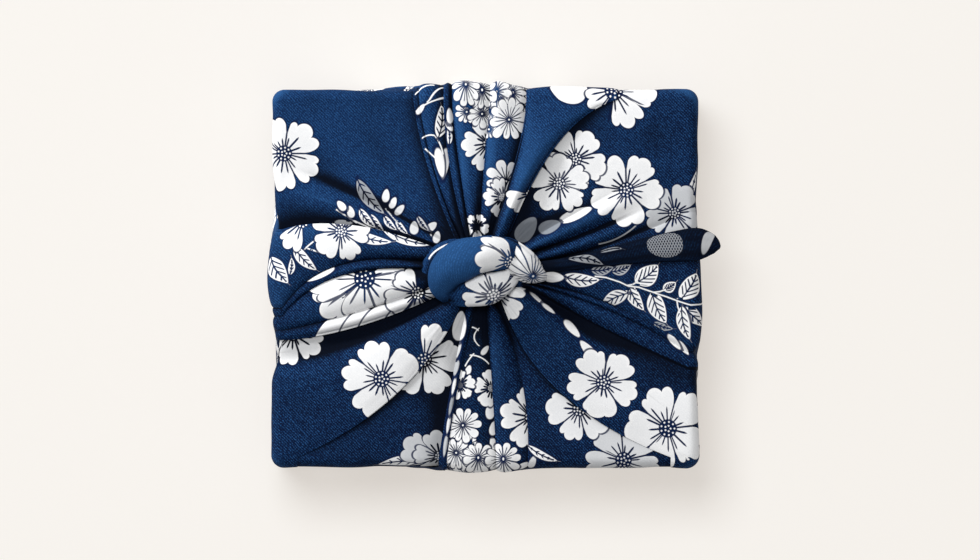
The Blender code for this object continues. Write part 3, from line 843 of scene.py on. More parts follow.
def swept(strap):
    """(points, flat places, hollows) of a strap, rows along it by places round it."""
    values = np.array(strap.sections, float)
    count = int(lengths(values[:, :3]).sum() / STRAP_CELL)
    path = catmull(values, np.linspace(0, len(values) - 1, count))
    centre = path[:, :3] + [0, 0, HEIGHT]
    wide, high = path[:, 3:4], path[:, 4:5]
    forward = unit(np.gradient(centre, axis=0))
    side = unit(np.cross(forward, [0, 0, 1]))
    up = np.cross(side, forward)
    sides = int(2 * math.pi * wide.max() / STRAP_CELL / CELL_LONGER)
    round_ = np.linspace(-math.pi / 2, math.pi * 1.5, sides + 1)[None, ::-1]
    share = np.linspace(0, 1, count)[:, None]
    grow = np.ones((count, sides + 1))
    for number, phase in strap.creases:
        wave = np.abs(np.sin(number * round_ / 2 + phase + strap.twist * share))
        crease = strap.depth * (wave**CREASE_POWER - CREASE_MIDDLE)
        grow += crease / wide.max() / len(strap.creases)
    points = (
        centre[:, None]
        + side[:, None] * (wide * np.cos(round_) * grow)[..., None]
        + up[:, None] * (high * np.sin(round_) * grow)[..., None]
    )
    length = np.concatenate([[0], np.cumsum(lengths(centre))])
    about = (math.pi / 2 - round_) * (wide.mean() + high.mean()) / 2
    flat = np.stack(np.broadcast_arrays(length[:, None], about), -1)
    # painted shade in a strap's creases and a painted highlight on its crests, and the strap's own
    # painted shade
    deep = (1.0 - grow) * wide.max() - CRESTS_PALE + strap.dark
    deep = np.concatenate([deep[:1], deep, deep[-1:]])
    closed = [np.broadcast_to(centre[end], (1, sides + 1, 3)) for end in (0, -1)]
    points = np.concatenate([closed[0], points, closed[1]])
    return points, np.concatenate([flat[:1], flat, flat[-1:]]), deep


def strap_piece(name, strap, number):
    points, flat, deep = swept(strap)
    offset = [0.0, STRAPS_AT + STRAPS_APART * number]
    flat_list = flat.reshape(-1, 2) + offset
    piece = one_layer(name, points, flat_list, deep)
    around = lengths(points, axis=1).sum(1).max() * MM
    along_it = lengths(points.mean(1)).sum() * MM
    sheets.append((piece, around / 2, along_it, area_of(piece) / 2))
    print(name, round(around / MM), "mm round,", round(along_it / MM), "mm long")
    return points, flat_list


print("straps are swept in cells", STRAP_CELL, "mm long")

# %% [markdown]
# ## The straps
#
# Each row in brackets is one section of a strap: its middle as x and y, its height over
# the top, and half its width and height. Then come the creases, each as a number of
# waves and where they start, their depth, and how far they wind. A last number, where
# there is one, paints shade on the strap, or a highlight where it is below zero.

# %% Straps
STRAPS = {
    "knot_over": Strap([
        (18, 9, 8, 5.5, 4.5), (12.5, 12, 15.5, 7.6, 6), (5, 12.8, 20, 8.8, 7.5),
        (-4, 12, 22.5, 9.6, 8.4), (-13, 9, 22, 10.8, 8.6), (-19.5, 3.5, 18.5, 9.6, 7.6),
        (-21.5, -3.5, 12.5, 7.6, 6), (-18.5, -9, 6, 5, 4.5),
    ], ((4, 0.4), (7, 1.7)), 0.45, 1.2, -0.6),
    "knot_right_turn": Strap([
        (3, 16, 9, 5, 4), (10.5, 14.8, 13.5, 6.5, 5.4), (17, 9.5, 15.5, 7.8, 6),
        (22.8, 4.8, 13.8, 7.2, 5.4), (27.6, 2, 10.5, 4.6, 4), (31.5, 0.6, 7, 1.6, 2.2),
    ], ((6, 1.1), (11, 0.2)), 1.2, 0.8),
    "knot_under": Strap([
        (-21, -6.5, 5, 4, 3.5), (-14.5, -6.8, 10.5, 7.3, 5.5), (-6, -6, 15, 8.4, 6.4),
        (2, -4.8, 16.5, 8.5, 6.4), (9, -1.8, 15, 6.6, 5.5), (15, 3, 10, 4.5, 4),
    ], ((3, 2), (7, 0.6)), 0.9, -0.9),
    "knot_left_turn": Strap([
        (-6, 15, 9, 3.5, 3.5), (-16, 16, 11.5, 4.6, 4), (-25, 11.3, 11.5, 5, 4.2),
        (-28.2, 4, 9.5, 4.6, 3.8), (-27, -2.5, 5.5, 3.4, 3),
    ], ((4, 0.3), (6, 1.9)), 0.5, 0.6),
    "knot_behind": Strap([
        (20, 9, 8, 4.5, 4), (11, 15, 10, 6, 5.5), (0, 15.5, 11.5, 6.5, 6),
        (-11, 13.5, 10, 5.5, 5), (-18, 7, 8, 4.5, 4),
    ], ((6, 0.9), (9, 2.4)), 1, 1),
    "knot_heart": Strap([
        (-24, 3, 5, 5, 4), (-12, 3, 9, 9.5, 7), (0, 3, 10, 10, 8), (12, 3, 9, 9.5, 7),
        (24, 3, 5, 5, 4),
    ], ((8, 0.9), (11, 2.4)), 0.8, 0.5),
    "free_end": Strap([
        (24, 5.5, 10, 3, 2.6), (40, 7.2, 9, 3.2, 2.4), (58, 10, 6.2, 4, 2),
        (80, 14.2, 4.4, 6, 1.7), (100, 17, 3.4, 7.8, 1.6), (110, 17.9, 2.6, 8.4, 1.6),
        (116, 17.7, 1.8, 6.6, 1.5), (120, 16.9, 1.4, 4, 1.3), (122.3, 16.2, 1.2, 0.8, 0.9),
    ], ((4, 1), (6, 0.4)), 0.3, 0.2, 1),
}
strap_places = {}
for number, (name, strap) in enumerate(STRAPS.items()):
    strap_places[name] = strap_piece(name, strap, number)

# %% [markdown]
# ## Creases between the pieces
#
# Light hardly reaches the clefts where one strap presses on another, or where the
# gathers vanish under the knot. Every point is told how near the closest strap is.
# The result joins the hollows found on each piece, and the material darkens there.
# After that the doubled points at the ends and seams of the straps are merged.

# %% Clefts
CLEFT = 2.6  # mm from one strap to another over which a cleft opens out
UNDER_KNOT = 10.0  # the same for the gathers under the knot
UNDER_END = 2.4  # and beside the free end
TOUCHING = 0.3  # mm from middle to middle of two points that touch
RIM_DROP = 2  # mm below the top, where the walls begin
KNOT_REACH = 52  # mm round the knot
END_STARTS, END_Y, END_REACH = 25, 12, 22  # where the free end lies on the top

trees = {}
for name in STRAPS:
    strap_points = hollow_places[name][0]
    tree = KDTree(len(strap_points))
    for index, point in enumerate(strap_points):
        tree.insert(point, index)
    tree.balance()
    trees[name] = tree


def cleft(points, others, reach):
    """From 1 where another piece touches to 0 far away from it."""
    shade = np.zeros(len(points))
    for index, point in enumerate(points):
        away = min(trees[other].find(point)[2] for other in others)
        shade[index] = math.exp(-max(away - TOUCHING, 0) / reach)
    return shade


def merge_doubles(piece):
    mesh = bmesh.new()
    mesh.from_mesh(piece.data)
    bmesh.ops.remove_doubles(mesh, verts=mesh.verts, dist=1e-6)
    mesh.to_mesh(piece.data)
    mesh.free()


knot_straps = [name for name in STRAPS if name != "free_end"]
for piece in pieces:
    points, hollow = hollow_places[piece.name]
    if piece.name in STRAPS:
        hollow = hollow + cleft(points, [n for n in knot_straps if n != piece.name], CLEFT)
    elif piece.name != "cloth_underside":
        on_top = points[:, 2] > HEIGHT - RIM_DROP
        near = on_top & (np.hypot(*(points[:, :2] - KNOT).T) < KNOT_REACH)
        beside = np.abs(points[:, 1] - END_Y) < END_REACH
        by_end = on_top & (points[:, 0] > END_STARTS) & beside
        hollow = hollow.copy()
        hollow[near] += cleft(points[near], knot_straps, UNDER_KNOT)
        hollow[by_end] += cleft(points[by_end], ["free_end"], UNDER_END)
    told = piece.data.attributes.new("hollow", "FLOAT", "POINT")
    told.data.foreach_set("value", np.clip(hollow, -1, 1).astype(np.float32))
    if piece.name in STRAPS:
        merge_doubles(piece)
print("clefts found on", len(pieces), "pieces")

# %% [markdown]
# ## Where the print lies
#
# The print is an ordinary mix of five-petalled blossoms, small chrysanthemums, leaves
# and sprigs. In the table a name stands for the layers that the rows after it are
# printed on, and a kind for what they are. Each row in brackets is one motif: its
# centre on the flat cloth, its radius, its turn in degrees, then how wide it is for its
# length, and its tone from grey to white. A low tone is partly a grey print and partly
# painted shade on motifs that lie in a shaded fold. The last two are left out where
# they are 0.5 and 1. A lobe is one petal of a blossom, for flowers that a fold cuts up,
# and its width makes it longer or shorter. The width of a stem says how it bends. On the
# knot and the free end the centre is the place seen from above.

# %% Motif table
BLOSSOM, MUM, LEAF, STEM, PETAL, NET, LOBE = 1, 2, 3, 4, 5, 6, 7
Motif = namedtuple("Motif", "kind layers x y radius turn width tone", defaults=(0.5, 1.0))
MOTIF_TABLE = [
    # back left panel and its sprig
    "back_left",
    BLOSSOM, (-104.5, 65, 20.5, 41),
    LEAF, (-60.2, 42, 11.2, -52, 0.29, 0.34),
    PETAL, (-51.5, 43, 3.4, 82, 0.55, 0.95), (-47.8, 39.3, 3.1, 65, 0.55, 0.95),
    (-44.4, 35.6, 3.3, 48, 0.52, 0.8),
    STEM, (-48.5, 32.5, 5, -50, 0.5, 0.6),
    PETAL, (-74.6, 37.8, 3, 130, 0.6), (-69.8, 34.6, 3.1, 105, 0.6),
    STEM, (-72, 32.4, 6.3, -33), (-64.3, 28.3, 6.8, -24),
    PETAL, (-73.5, 29, 4.7, -3, 0.3, 0.5),
    LEAF, (-61.5, 31, 6.3, -50, 0.34), (-56.5, 28.5, 5.6, -52, 0.36),
    (-49.5, 28.5, 4.8, -48, 0.36), (-43.5, 26.5, 4.6, -50, 0.34),
    PETAL, (-36.8, 26.3, 3.4, 90, 0.65, 0.75),
    LEAF, (-32.5, 28.3, 4.7, -52, 0.34, 0.6),
    PETAL, (-27.6, 27, 3, 40, 0.65, 0.75), (-25, 21.5, 3.1, 78, 0.6, 0.85),
    STEM, (-28, 22.6, 5.2, -53, 0.5, 0.8),
    # back pleats
    "back_vine",
    STEM, (-28.5, 91, 8.3, 24, 0.4),
    PETAL, (-33.5, 88, 3.2, 52, 0.42),
    STEM, (-26.8, 94.3, 6.2, 40, 0.42), (-31.5, 97.4, 5.2, 18, 0.42),
    LEAF, (-22.7, 81.5, 8.3, 85, 0.4),
    STEM, (-28.6, 74, 4.2, 4, 0.3), (-23.6, 69.6, 5.4, -66, 0.42), (-28, 64.6, 4.2, -42),
    PETAL, (-23.4, 60.2, 7.6, -80, 0.3), (-21, 59.6, 8.2, -97, 0.27),
    "back_narrow",
    PETAL, (-18.3, 84.5, 4, 95, 0.42), (-18.5, 79.2, 3, -60),
    LEAF, (-18.6, 74.2, 4.6, 95, 0.3, 0.9),
    "back_middle back_narrow",
    MUM, (-10, 97.5, 8.5, 4),
    "back_middle back_right",
    MUM, (-1.5, 96, 8.5, 14),
    "back_middle",
    MUM, (-1.5, 85.5, 8, 20), (-9.5, 86.5, 6.5, 11), (-8, 104, 8, 2),
    BLOSSOM, (1.8, 70, 15, 180),
    "back_middle back_right",
    BLOSSOM, (-4.5, 27, 7, 130),
    "back_right",
    MUM, (12.5, 82.5, 12.3, 8), (6, 95, 8.6, 0), (14.5, 95.5, 8.4, 12), (21, 90.5, 8, 5),
    (3.4, 86.8, 7, 9), (22, 80, 6, 9), (11, 101, 8, 7), (2, 77.5, 5, 3),
    BLOSSOM, (9.3, 42, 11, 180, 0.5, 0.9),
    MUM, (11, 50.5, 11.8, 3, 0.5, 0.85),
    "back_roll",
    LOBE, (23.8, 43.6, 13.6, 204), (67, 97.4, 24, 204, 0.22),
    PETAL, (43.5, 98, 9.6, 174, 0.72),
    "right_back",
    LOBE, (67, 97.4, 24, -64, 0.45),
    "right_back back_roll",
    LOBE, (67, 97.4, 24, 6, 0.45), (67, 97.4, 24, 70, 0.45),
    # right of the back
    "right_back",
    BLOSSOM, (38.5, 49.3, 16.6, 19), (47, 62, 17, 55), (73.5, 46, 19.8, 60),
    (98.5, 34, 16, 60, 0.5, 0.6),
    PETAL, (21.5, 25.5, 7.6, 52, 0.6, 0.22), (33.5, 27, 6, 20, 0.55, 0.22), (47, 33.2, 9, 22, 0.3),
    LEAF, (107, 46, 10.5, 65, 0.22, 0.9),
    STEM, (70, 22.3, 11.5, 28, 0.6, 0.5),
    # vine on the right
    "right_vine",
    STEM, (60, 0.8, 3, -6, 0.5, 0.9), (66.5, -0.7, 3.7, -18, 0.5, 0.9),
    (72.2, -2.9, 2.5, -26, 0.5, 0.9), (77.4, -4.3, 2.9, -6, 0.5, 0.9),
    (84.3, -6.1, 4.2, -19, 0.5, 0.9), (91.8, -8.7, 3.6, -18, 0.5, 0.9),
    (97.5, -10.7, 2.5, -20, 0.5, 0.9), (103.2, -12.7, 3.6, -18, 0.5, 0.9),
    (109, -13.6, 2.5, 5, 0.5, 0.9), (114.8, -12.2, 3.4, 19, 0.5, 0.9),
    (75.2, -3.4, 1.3, 9, 0.5, 0.9), (78, -2.4, 1.7, 29, 0.5, 0.9), (89.2, -7, 1.8, 6, 0.5, 0.9),
    (92.5, -6.2, 1.6, 21, 0.5, 0.9), (100, -13.4, 1.6, -81, 0.5, 0.9),
    (100.8, -16.5, 1.6, -73, 0.5, 0.9), (99.8, -10.7, 1.3, 13, 0.5, 0.9),
    (102, -9.4, 1.4, 43, 0.5, 0.9),
    PETAL, (35.5, 0.7, 5.4, -4),
    LEAF, (50, -0.6, 9.4, -6, 0.36), (61, 4.5, 5.8, 8, 0.45, 0.3), (71, 4.8, 5.2, 20, 0.5, 0.42),
    (84.4, 1.8, 7.4, 38, 0.68), (96, -4.3, 3.8, 30, 0.72), (106, -4.4, 7.6, 62, 0.58),
    (66.8, -10.8, 7.8, 208, 0.46, 0.9), (77.8, -9.8, 8.1, -60, 0.4), (89.7, -15.3, 8.8, -66),
    (103.4, -23.2, 8.8, -77, 0.36), (107.4, -19, 8.2, -50, 0.4), (92.5, -25, 5.2, -18, 0.36, 0.35),
]
print(sum(isinstance(entry, tuple) for entry in MOTIF_TABLE), "motifs at the back and right")

# %% [markdown]
# ## The front and the left
#
# The same for the panels and pleats in front of the knot and for the rolls on its left,
# where the folds cut two large flowers into strips.

# %% Motifs at the front and left
MOTIF_TABLE += [
    "right_front",
    BLOSSOM, (61.5, -54, 19.3, 46), (95, -78, 23.5, 39),
    PETAL, (54.5, -38.3, 7.6, 130, 0.33), (45.2, -26, 5.8, -48, 0.34), (33, -15.6, 4, -38, 0.26),
    (27.6, -10.8, 5.5, -41, 0.16), (98.4, -33, 5, -50, 0.32), (103, -36, 4.6, -50, 0.32),
    BLOSSOM, (6, -8, 17, -45, 0.5, 0.95),
    "front_under",
    BLOSSOM, (49, -68, 18, 178, 0.5, 0.9), (72, -94.5, 21, 125, 0.5, 0.72),
    LEAF, (29.5, -91.4, 8.5, -27, 0.22),
    PETAL, (24.6, -95.4, 3.4, 65, 0.5, 0.75),
    # front pleats
    "front_flower",
    BLOSSOM, (24, -72, 17, 172),
    "front_flower front_wide",
    MUM, (9.5, -93.5, 9.6, 5),
    "front_flower",
    PETAL, (20, -97, 3.8, 20, 0.45),
    "front_wide",
    STEM, (-4.6, -30.4, 4.6, 90, 0.15), (-5, -26, 1.9, -28, 0.4), (-8.2, -42.2, 4, 55, 0.45),
    (-2.6, -41.4, 5.4, -25, 0.36),
    PETAL, (0, -37.3, 2.9, 52, 0.48),
    BLOSSOM, (-13, -55.5, 8.2, 20),
    PETAL, (-8.6, -47.5, 2.5, 70, 0.6),
    BLOSSOM, (3.4, -57, 10.2, 170),
    PETAL, (2.8, -68.5, 4.7, 85), (4.6, -77.5, 4.2, 76),
    MUM, (-11.5, -76.3, 10.2, 0), (-3.5, -93, 9, 12), (-15, -90.6, 8.4, 3), (-19.6, -82, 5, 3),
    (-10, -102, 9, 0), (-8.5, -86, 5.5, 8), (1.8, -101.5, 8, 6), (-20, -99, 8, 14),
    PETAL, (4.2, -85.6, 3.4, 100),
    "hem front_low",
    PETAL, (-13.2, -24.6, 7.8, 82, 0.44, 0.95),
    "hem",
    PETAL, (-13.9, -37, 4.4, -104, 0.24, 0.7), (-15, -46.5, 4, -104, 0.3, 0.5),
    (-16.2, -56, 4.2, -102, 0.2, 0.8), (-17.6, -66, 5, -102, 0.18, 0.3),
    (-19, -76, 4.4, -100, 0.2, 0.8), (-20.6, -87, 5.4, -98, 0.18, 0.5),
    # front left
    "front_left",
    BLOSSOM, (-53.7, -52.2, 21.3, 31),
    LOBE, (-31.5, -42.5, 21, 65),
    "front_low",
    BLOSSOM, (-31.7, -42, 20.3, 9, 0.5, 0.92), (-23.5, -92.5, 14, 104, 0.5, 0.62),
    LOBE, (-23, -94.5, 22, 158, 0.5, 0.6),
    LEAF, (-43, -95.8, 12.5, 183, 0.24, 0.8),
    "front_left",
    BLOSSOM, (-100, -29, 17.5, -105),
    # left band
    "left_flower left_petals",
    LOBE, (-35, -7.5, 17, 130, 0.4),
    "left_petals left_flower",
    LOBE, (-35, -7.5, 17, 203, 0.56),
    "left_petals",
    LOBE, (-35, -7.5, 17, 275, 0.4, 0.95),
    "left_flower left_petals",
    LOBE, (-35, -7.5, 17, 0, 0.36, 0.8),
    "left_flower",
    LOBE, (-62.5, 0, 27, 330, 0.4), (-62.5, 0, 27, 184, 0.66), (-62.5, 0, 27, 264, 0.4),
    (-62.5, 0, 27, 217, 0.58), (-62.5, 0, 27, 38, 0.36),
    "left_petals",
    PETAL, (-40, -28.5, 16, 90, 0.9), (-52, -29.5, 16, 90, 0.92), (-62, -31.5, 16, 90, 0.9),
    (-74, -35, 17, 90, 0.92),
    "left_thin",
    PETAL, (-88, 3, 10, 14, 0.36),
    "left_top",
    BLOSSOM, (-74.8, 24.4, 16, 6),
    LEAF, (-59, 20.8, 10.6, -15, 0.24), (-41.5, 21, 13.6, -20, 0.19),
    LOBE, (-95, 29.5, 17.5, 238),
    LEAF, (-94, 10.2, 8.6, -47, 0.34), (-107, 4, 7.8, -60), (-100.6, 6.2, 4.4, 84, 0.38),
    STEM, (-87, 19.8, 10, 32, 0.4), (-91.5, 15.4, 7.4, -18),
]
print(sum(isinstance(entry, tuple) for entry in MOTIF_TABLE), "motifs with the front")

# %% [markdown]
# ## Knot, walls and underside
#
# The walls go on where the top ends, so their places lie beyond its rim. The underside
# is laid out apart from the rest, about 1000 mm to the right.

# %% Motifs on the knot and walls
MOTIF_TABLE += [
    "knot_over",
    LOBE, (13, 7.5, 18, -4), (13, 7.5, 18, 52),
    "knot_left_turn",
    STEM, (-14, 19, 14, 0),
    "knot_right_turn",
    MUM, (25.5, 1.5, 21, 12),
    "knot_under",
    BLOSSOM, (5, -9, 14, 160), (12, 1, 15, 180),
    "free_end",
    LEAF, (52, 10.5, 9.6, 20, 0.25, 0.35), (65.5, 15.5, 6, 5, 0.2, 0.3),
    NET, (93.5, 18.6, 9.5, 3, 0.4, 0.34),
    PETAL, (116.4, 20.5, 4.6, -58, 0.48, 0.6),
    # back wall
    "back_left",
    BLOSSOM, (-80, 128, 19, 20),
    PETAL, (-55, 112, 5, 60),
    "back_vine",
    BLOSSOM, (-60, 146, 17, 10),
    LEAF, (-38, 116, 9, 70, 0.36), (-42, 128, 8, 110, 0.36),
    "back_narrow",
    BLOSSOM, (-42, 156, 15, 40),
    "back_middle",
    MUM, (-12, 112, 10, 4), (2, 108, 9, 14), (-9, 128, 11, 7),
    BLOSSOM, (-8, 152, 18, 30),
    "back_right",
    MUM, (20, 110, 9, 5), (17, 124, 10, 15),
    BLOSSOM, (35, 146, 18, 15),
    "back_roll",
    BLOSSOM, (60, 120, 18, 50),
    LEAF, (80, 148, 9, 60, 0.4),
    "right_back",
    BLOSSOM, (96, 124, 18, 30),
    # right wall
    (135, 78, 19, 35), (152, 52, 18, 5),
    PETAL, (124, 50, 6, 30),
    "right_vine",
    LEAF, (121, -3, 8, 40), (124, -18, 8.5, -60), (136, 2, 8, 60), (140, -18, 8.5, -50),
    (152, 0, 8, 30),
    STEM, (122, -10, 4.1, 14, 0.5, 0.9), (130, -8.5, 4, 7, 0.5, 0.9),
    (138.5, -8.5, 4.5, -6, 0.5, 0.9), (146.5, -8, 3.6, 15, 0.5, 0.9),
    "right_front",
    BLOSSOM, (138, -76, 20, 15),
    PETAL, (124, -52, 6, -40, 0.4),
    # front wall
    "front_under",
    BLOSSOM, (84, -128, 19, 20), (46, -116, 16, 0),
    "front_flower",
    BLOSSOM, (44, -146, 17, 30),
    "front_wide",
    MUM, (12, -112, 10, 12), (-8, -116, 11, 0), (-24, -108, 8, 9),
    BLOSSOM, (-18, -142, 19, 12), (14, -150, 15, 50),
    "front_low",
    BLOSSOM, (-56, -122, 19, 25), (-84, -146, 17, 60),
    # left wall
    "front_left",
    BLOSSOM, (-132, -84, 19, 45),
    "left_petals left_flower",
    BLOSSOM, (-142, -42, 17, 15),
    "left_top",
    BLOSSOM, (-127, 8, 16, 30),
    LEAF, (-140, -8, 9, 200, 0.4),
    BLOSSOM, (-152, 26, 18, 0),
    "back_left",
    BLOSSOM, (-130, 70, 18, 20), (-152, 84, 15, 50),
    # underside
    "cloth_underside",
    BLOSSOM, (925, 55, 20, 10), (960, 38, 19, 40), (1045, 60, 20, 25),
    MUM, (1072, 40, 11, 5), (1085, 52, 10, 12),
    BLOSSOM, (1000, -5, 20, 0),
    LEAF, (1026, 8, 9, 30, 0.4), (1030, -8, 9, -20, 0.4),
    BLOSSOM, (935, -50, 20, 30),
    MUM, (985, -62, 11, 9),
    BLOSSOM, (1062, -48, 20, 55), (1085, -20, 17, 12),
]
MOTIFS = []
for entry in MOTIF_TABLE:
    if isinstance(entry, str):
        on_layers = entry.split()
    elif isinstance(entry, int):
        kind = entry
    else:
        MOTIFS.append(Motif(kind, on_layers, *entry))
print(len(MOTIFS), "motifs in all")

# %% [markdown]
# ## Telling each face its motifs
#
# A material can't loop through a table. So every face of the cloth is told which
# motifs reach it. A strap's motif is first moved from the place seen from above to the
# highest place on the strap there, and each kind reaches as far as its form does.

# %% Where a motif reaches
FACE_REACH = 1.6  # mm that a face may stand out from its middle
OUTLINE = 1.3  # mm of darker ink round a motif
ROOM, SIDE_ROOM = 1.04, 1.2  # a motif's reach, as shares of its radius and half width
LOBE_HEART, LOBE_SLOPE = 0.24, 0.8  # where a lobe lies: near the centre, or in a wedge
LOBE_LONGER = 1.2  # how much a lobe grows with its width
NEAR = 0.8  # mm from a place on a strap that cost nothing
FARTHER = 4  # mm of height that every further mm costs


def place_on_strap(name, motif):
    """The strap's highest place at a motif's centre as seen from above."""
    points, flat = strap_places[name]
    points = points.reshape(-1, 3)
    away = np.hypot(points[:, 0] - motif.x, points[:, 1] - motif.y)
    rank = points[:, 2] - FARTHER * np.maximum(away - NEAR, 0)
    return flat[int(rank.argmax())]


def motif_rows(layer_name):
    """(centre, motif, seed) for each motif printed on a layer."""
    rows = []
    for number, motif in enumerate(MOTIFS):
        if layer_name in motif.layers:
            centre = (motif.x, motif.y)
            if layer_name in strap_places:
                centre = place_on_strap(layer_name, motif)
            rows.append((centre, motif, number))
    return rows


def reached(motif, centre, middles):
    """Which faces a motif may touch, given where their middles lie."""
    angle = math.radians(motif.turn)
    du, dv = (middles - centre).T
    x = du * math.cos(angle) + dv * math.sin(angle)
    y = np.abs(dv * math.cos(angle) - du * math.sin(angle))
    long_ = motif.radius * ROOM + FACE_REACH
    if motif.kind in (BLOSSOM, MUM):
        return np.hypot(x, y) < long_
    if motif.kind == LOBE:
        close = np.hypot(x, y) < motif.radius * LOBE_HEART
        long_ += motif.radius * max(motif.width - 0.5, 0) * LOBE_LONGER
        return (np.hypot(x, y) < long_) & (close | (y < x * LOBE_SLOPE + FACE_REACH))
    high = motif.radius * motif.width * SIDE_ROOM + OUTLINE
    if motif.kind == STEM:
        high = motif.radius * abs(0.5 - motif.width) + 0.5
    return (np.abs(x) < long_) & (y < high + FACE_REACH)


print("a motif reaches", FACE_REACH, "mm further than its form")

# %% [markdown]
# ## Up to three motifs on a face
#
# The motifs of a face are kept as attributes, the top-most first: the centre, the turn
# and size, the kind and width, and the tone beside a number that makes each motif
# differ. The material then draws three motifs at most, wherever it is.

# %% Motifs on faces
SLOTS = 3
TONE_MOST = 0.99  # because the tone is the fraction beside a whole number


def mark_faces(item):
    count = len(item.middles)
    where = np.zeros((SLOTS, count, 3), np.float32)
    form = np.zeros((SLOTS, count, 3), np.float32)
    used = np.zeros(count, int)
    for layer in np.unique(item.layers[item.layers >= 0]):
        for centre, motif, seed in motif_rows(LAYERS[layer]):
            free = (item.layers == layer) & (used < SLOTS)
            faces = np.flatnonzero(free & reached(motif, centre, item.middles))
            slots = used[faces]
            turn = math.radians(motif.turn)
            number_and_tone = seed + min(motif.tone, TONE_MOST)
            where[slots, faces] = (centre[0] * MM, centre[1] * MM, number_and_tone)
            cosine, sine = math.cos(turn) / motif.radius, math.sin(turn) / motif.radius
            form[slots, faces] = (cosine, sine, motif.kind + motif.width)
            used[faces] += 1
    for slot in range(SLOTS):
        for name, values in (("where", where), ("form", form)):
            told = item.piece.data.attributes.new(f"{name}_{slot}", "FLOAT_VECTOR", "FACE")
            told.data.foreach_set("vector", values[slot].ravel())
    return int((used > 0).sum())


for item in printed:
    print(item.piece.name, mark_faces(item), "printed faces of", len(item.middles))

# %% [markdown]
# ## Writing shader maths as Python
#
# Node graphs are long to build by hand. A small class wraps a socket, so that
# ordinary expressions on it add the Math nodes.

# %% Socket wrapper
class Wire:
    """A socket of a material, for use in Python expressions."""

    def __init__(self, socket):
        self.socket = socket

    def node(self, kind, settings=None, values=None, output=0):
        """Adds a node of any kind. Its settings are set before its sockets."""
        tree = self.socket.id_data
        made = tree.nodes.new("ShaderNode" + kind)
        for key, value in (settings or {}).items():
            setattr(made, key, value)
        for key, value in (values or {}).items():
            if isinstance(value, Wire):
                tree.links.new(value.socket, made.inputs[key])
            else:
                made.inputs[key].default_value = value
        return Wire(made.outputs[output])

    def math(self, operation, *operands):
        return self.node("Math", {"operation": operation}, dict(enumerate(operands)))

    def __add__(self, other):
        return self.math("ADD", self, other)

    __radd__ = __add__

    def __sub__(self, other):
        return self.math("SUBTRACT", self, other)

    def __rsub__(self, other):
        return self.math("SUBTRACT", other, self)

    def __mul__(self, other):
        return self.math("MULTIPLY", self, other)

    def __truediv__(self, other):
        return self.math("DIVIDE", self, other)

    def __rtruediv__(self, other):
        return self.math("DIVIDE", other, self)

    def __abs__(self):
        return self.math("ABSOLUTE", self)

    def __pow__(self, other):
        return self.math("POWER", self, other)

    def rises(self, start, end):
        """0 below start and 1 above end, or the other way round if end is lower."""
        return self.node(
            "MapRange", {"interpolation_type": "SMOOTHSTEP"},
            {"Value": self, "From Min": min(start, end), "From Max": max(start, end),
             "To Min": float(start > end), "To Max": float(start <= end)},
        )

    def least(self, other):
        return self.math("MINIMUM", self, other)

    def most(self, other):
        return self.math("MAXIMUM", self, other)

    def is_kind(self, kind):
        return self.math("COMPARE", self, kind, 0.5)

    def mixed(self, first, second):
        """This wire as a factor between two colours."""
        colours = {6: first, 7: second, 0: self}
        return self.node("Mix", {"data_type": "RGBA"}, colours, output=2)


print("a wire can be added, multiplied, compared and mixed")

# %% [markdown]
# ## Drawing one motif
#
# Each motif is drawn in its own coordinates, where its radius is 1, and `size` is that
# radius in millimetres, so that lines are as thick on a small blossom as on a large
# one. A blossom repeats one petal round its centre: the angle is folded so that every
# petal sees the same maths, and a little noise for each petal makes them differ.
# Dark lines part the petals, strokes run out from the centre, and dots sit in it. A
# chrysanthemum is the same with twice the petals and one dot.

# %% Blossoms
PETALS = 5.0
WOBBLE = 0.09  # radians by which petals are turned unevenly
TIP, TIP_VARIES, MUM_VARIES = 0.93, 0.07, 0.14  # shares of the radius a petal reaches
ROUNDER, MUM_ROUNDER, BLUNTER = 0.05, 0.12, 0.30  # how a tip falls off to its sides
NOTCHES, NOTCH, NOTCH_VARIES = 1.3, 0.07, 0.12  # dents in a tip: how many, how deep
NOTCH_SHARP, NOTCH_SHIFT = 0.6, 0.4
PETAL_GAP, BLOSSOM_GAP = 0.30, 0.12  # mm between petals, and how much more in a blossom
GAP_FROM, GAP_OPENS = 0.55, 0.19  # share of the radius past which gaps open, and how
STROKE_APART = 0.62  # as a share of a petal's half width
STROKE_SHIFT, STROKE_SHIFT_EACH = 0.24, 0.2  # of all strokes of a petal, and of each
STROKE_END, STROKE_VARIES = 0.36, 0.26  # how far out, as shares of the radius
STROKE_TAPER, STROKE_MOST, STROKE_EDGE, STROKE_FADE = 5.6, 0.08, 0.15, 0.03
STROKE_SIDE_FROM, STROKE_SIDE_FULL = 0.9, 0.76  # none close to a petal's side
MUM_STROKE_LONGER, MUM_STROKE_TAPER = 0.1, 3.0
SEED_STEP = 9.0  # parts the chances of one petal's strokes from the next one's
HOLE = 0.205  # the centre's share of the radius
INNER_DOTS, OUTER_DOTS = (5, 0.062), (9, 0.148)  # how many, and how far out
DOT_NONE, DOT_FULL = 0.62, 0.34  # mm from the middle of a dot
DOTS_FROM, DOTS_FULL = 7.0, 12.0  # mm of radius from which a blossom has dots
MUM_HOLE, HOLE_EDGE = 0.95, 0.3  # mm
SOFT = 0.2  # mm over which the edge of the print fades
EVERYWHERE = 90.0  # mm, more than any motif


def parts_of(wire):
    """The three numbers of a vector or colour."""
    return [wire.node("SeparateXYZ", values={0: wire}, output=n) for n in range(3)]


def chances_of(first, second):
    """Three numbers from 0 to 1 that depend by chance on two others."""
    both = first.node("CombineXYZ", values={0: first, 1: second})
    return parts_of(both.node("TexWhiteNoise", {"noise_dimensions": "2D"}, {0: both}, output=1))


def ellipse(x, y):
    return (x * x + y * y) ** 0.5


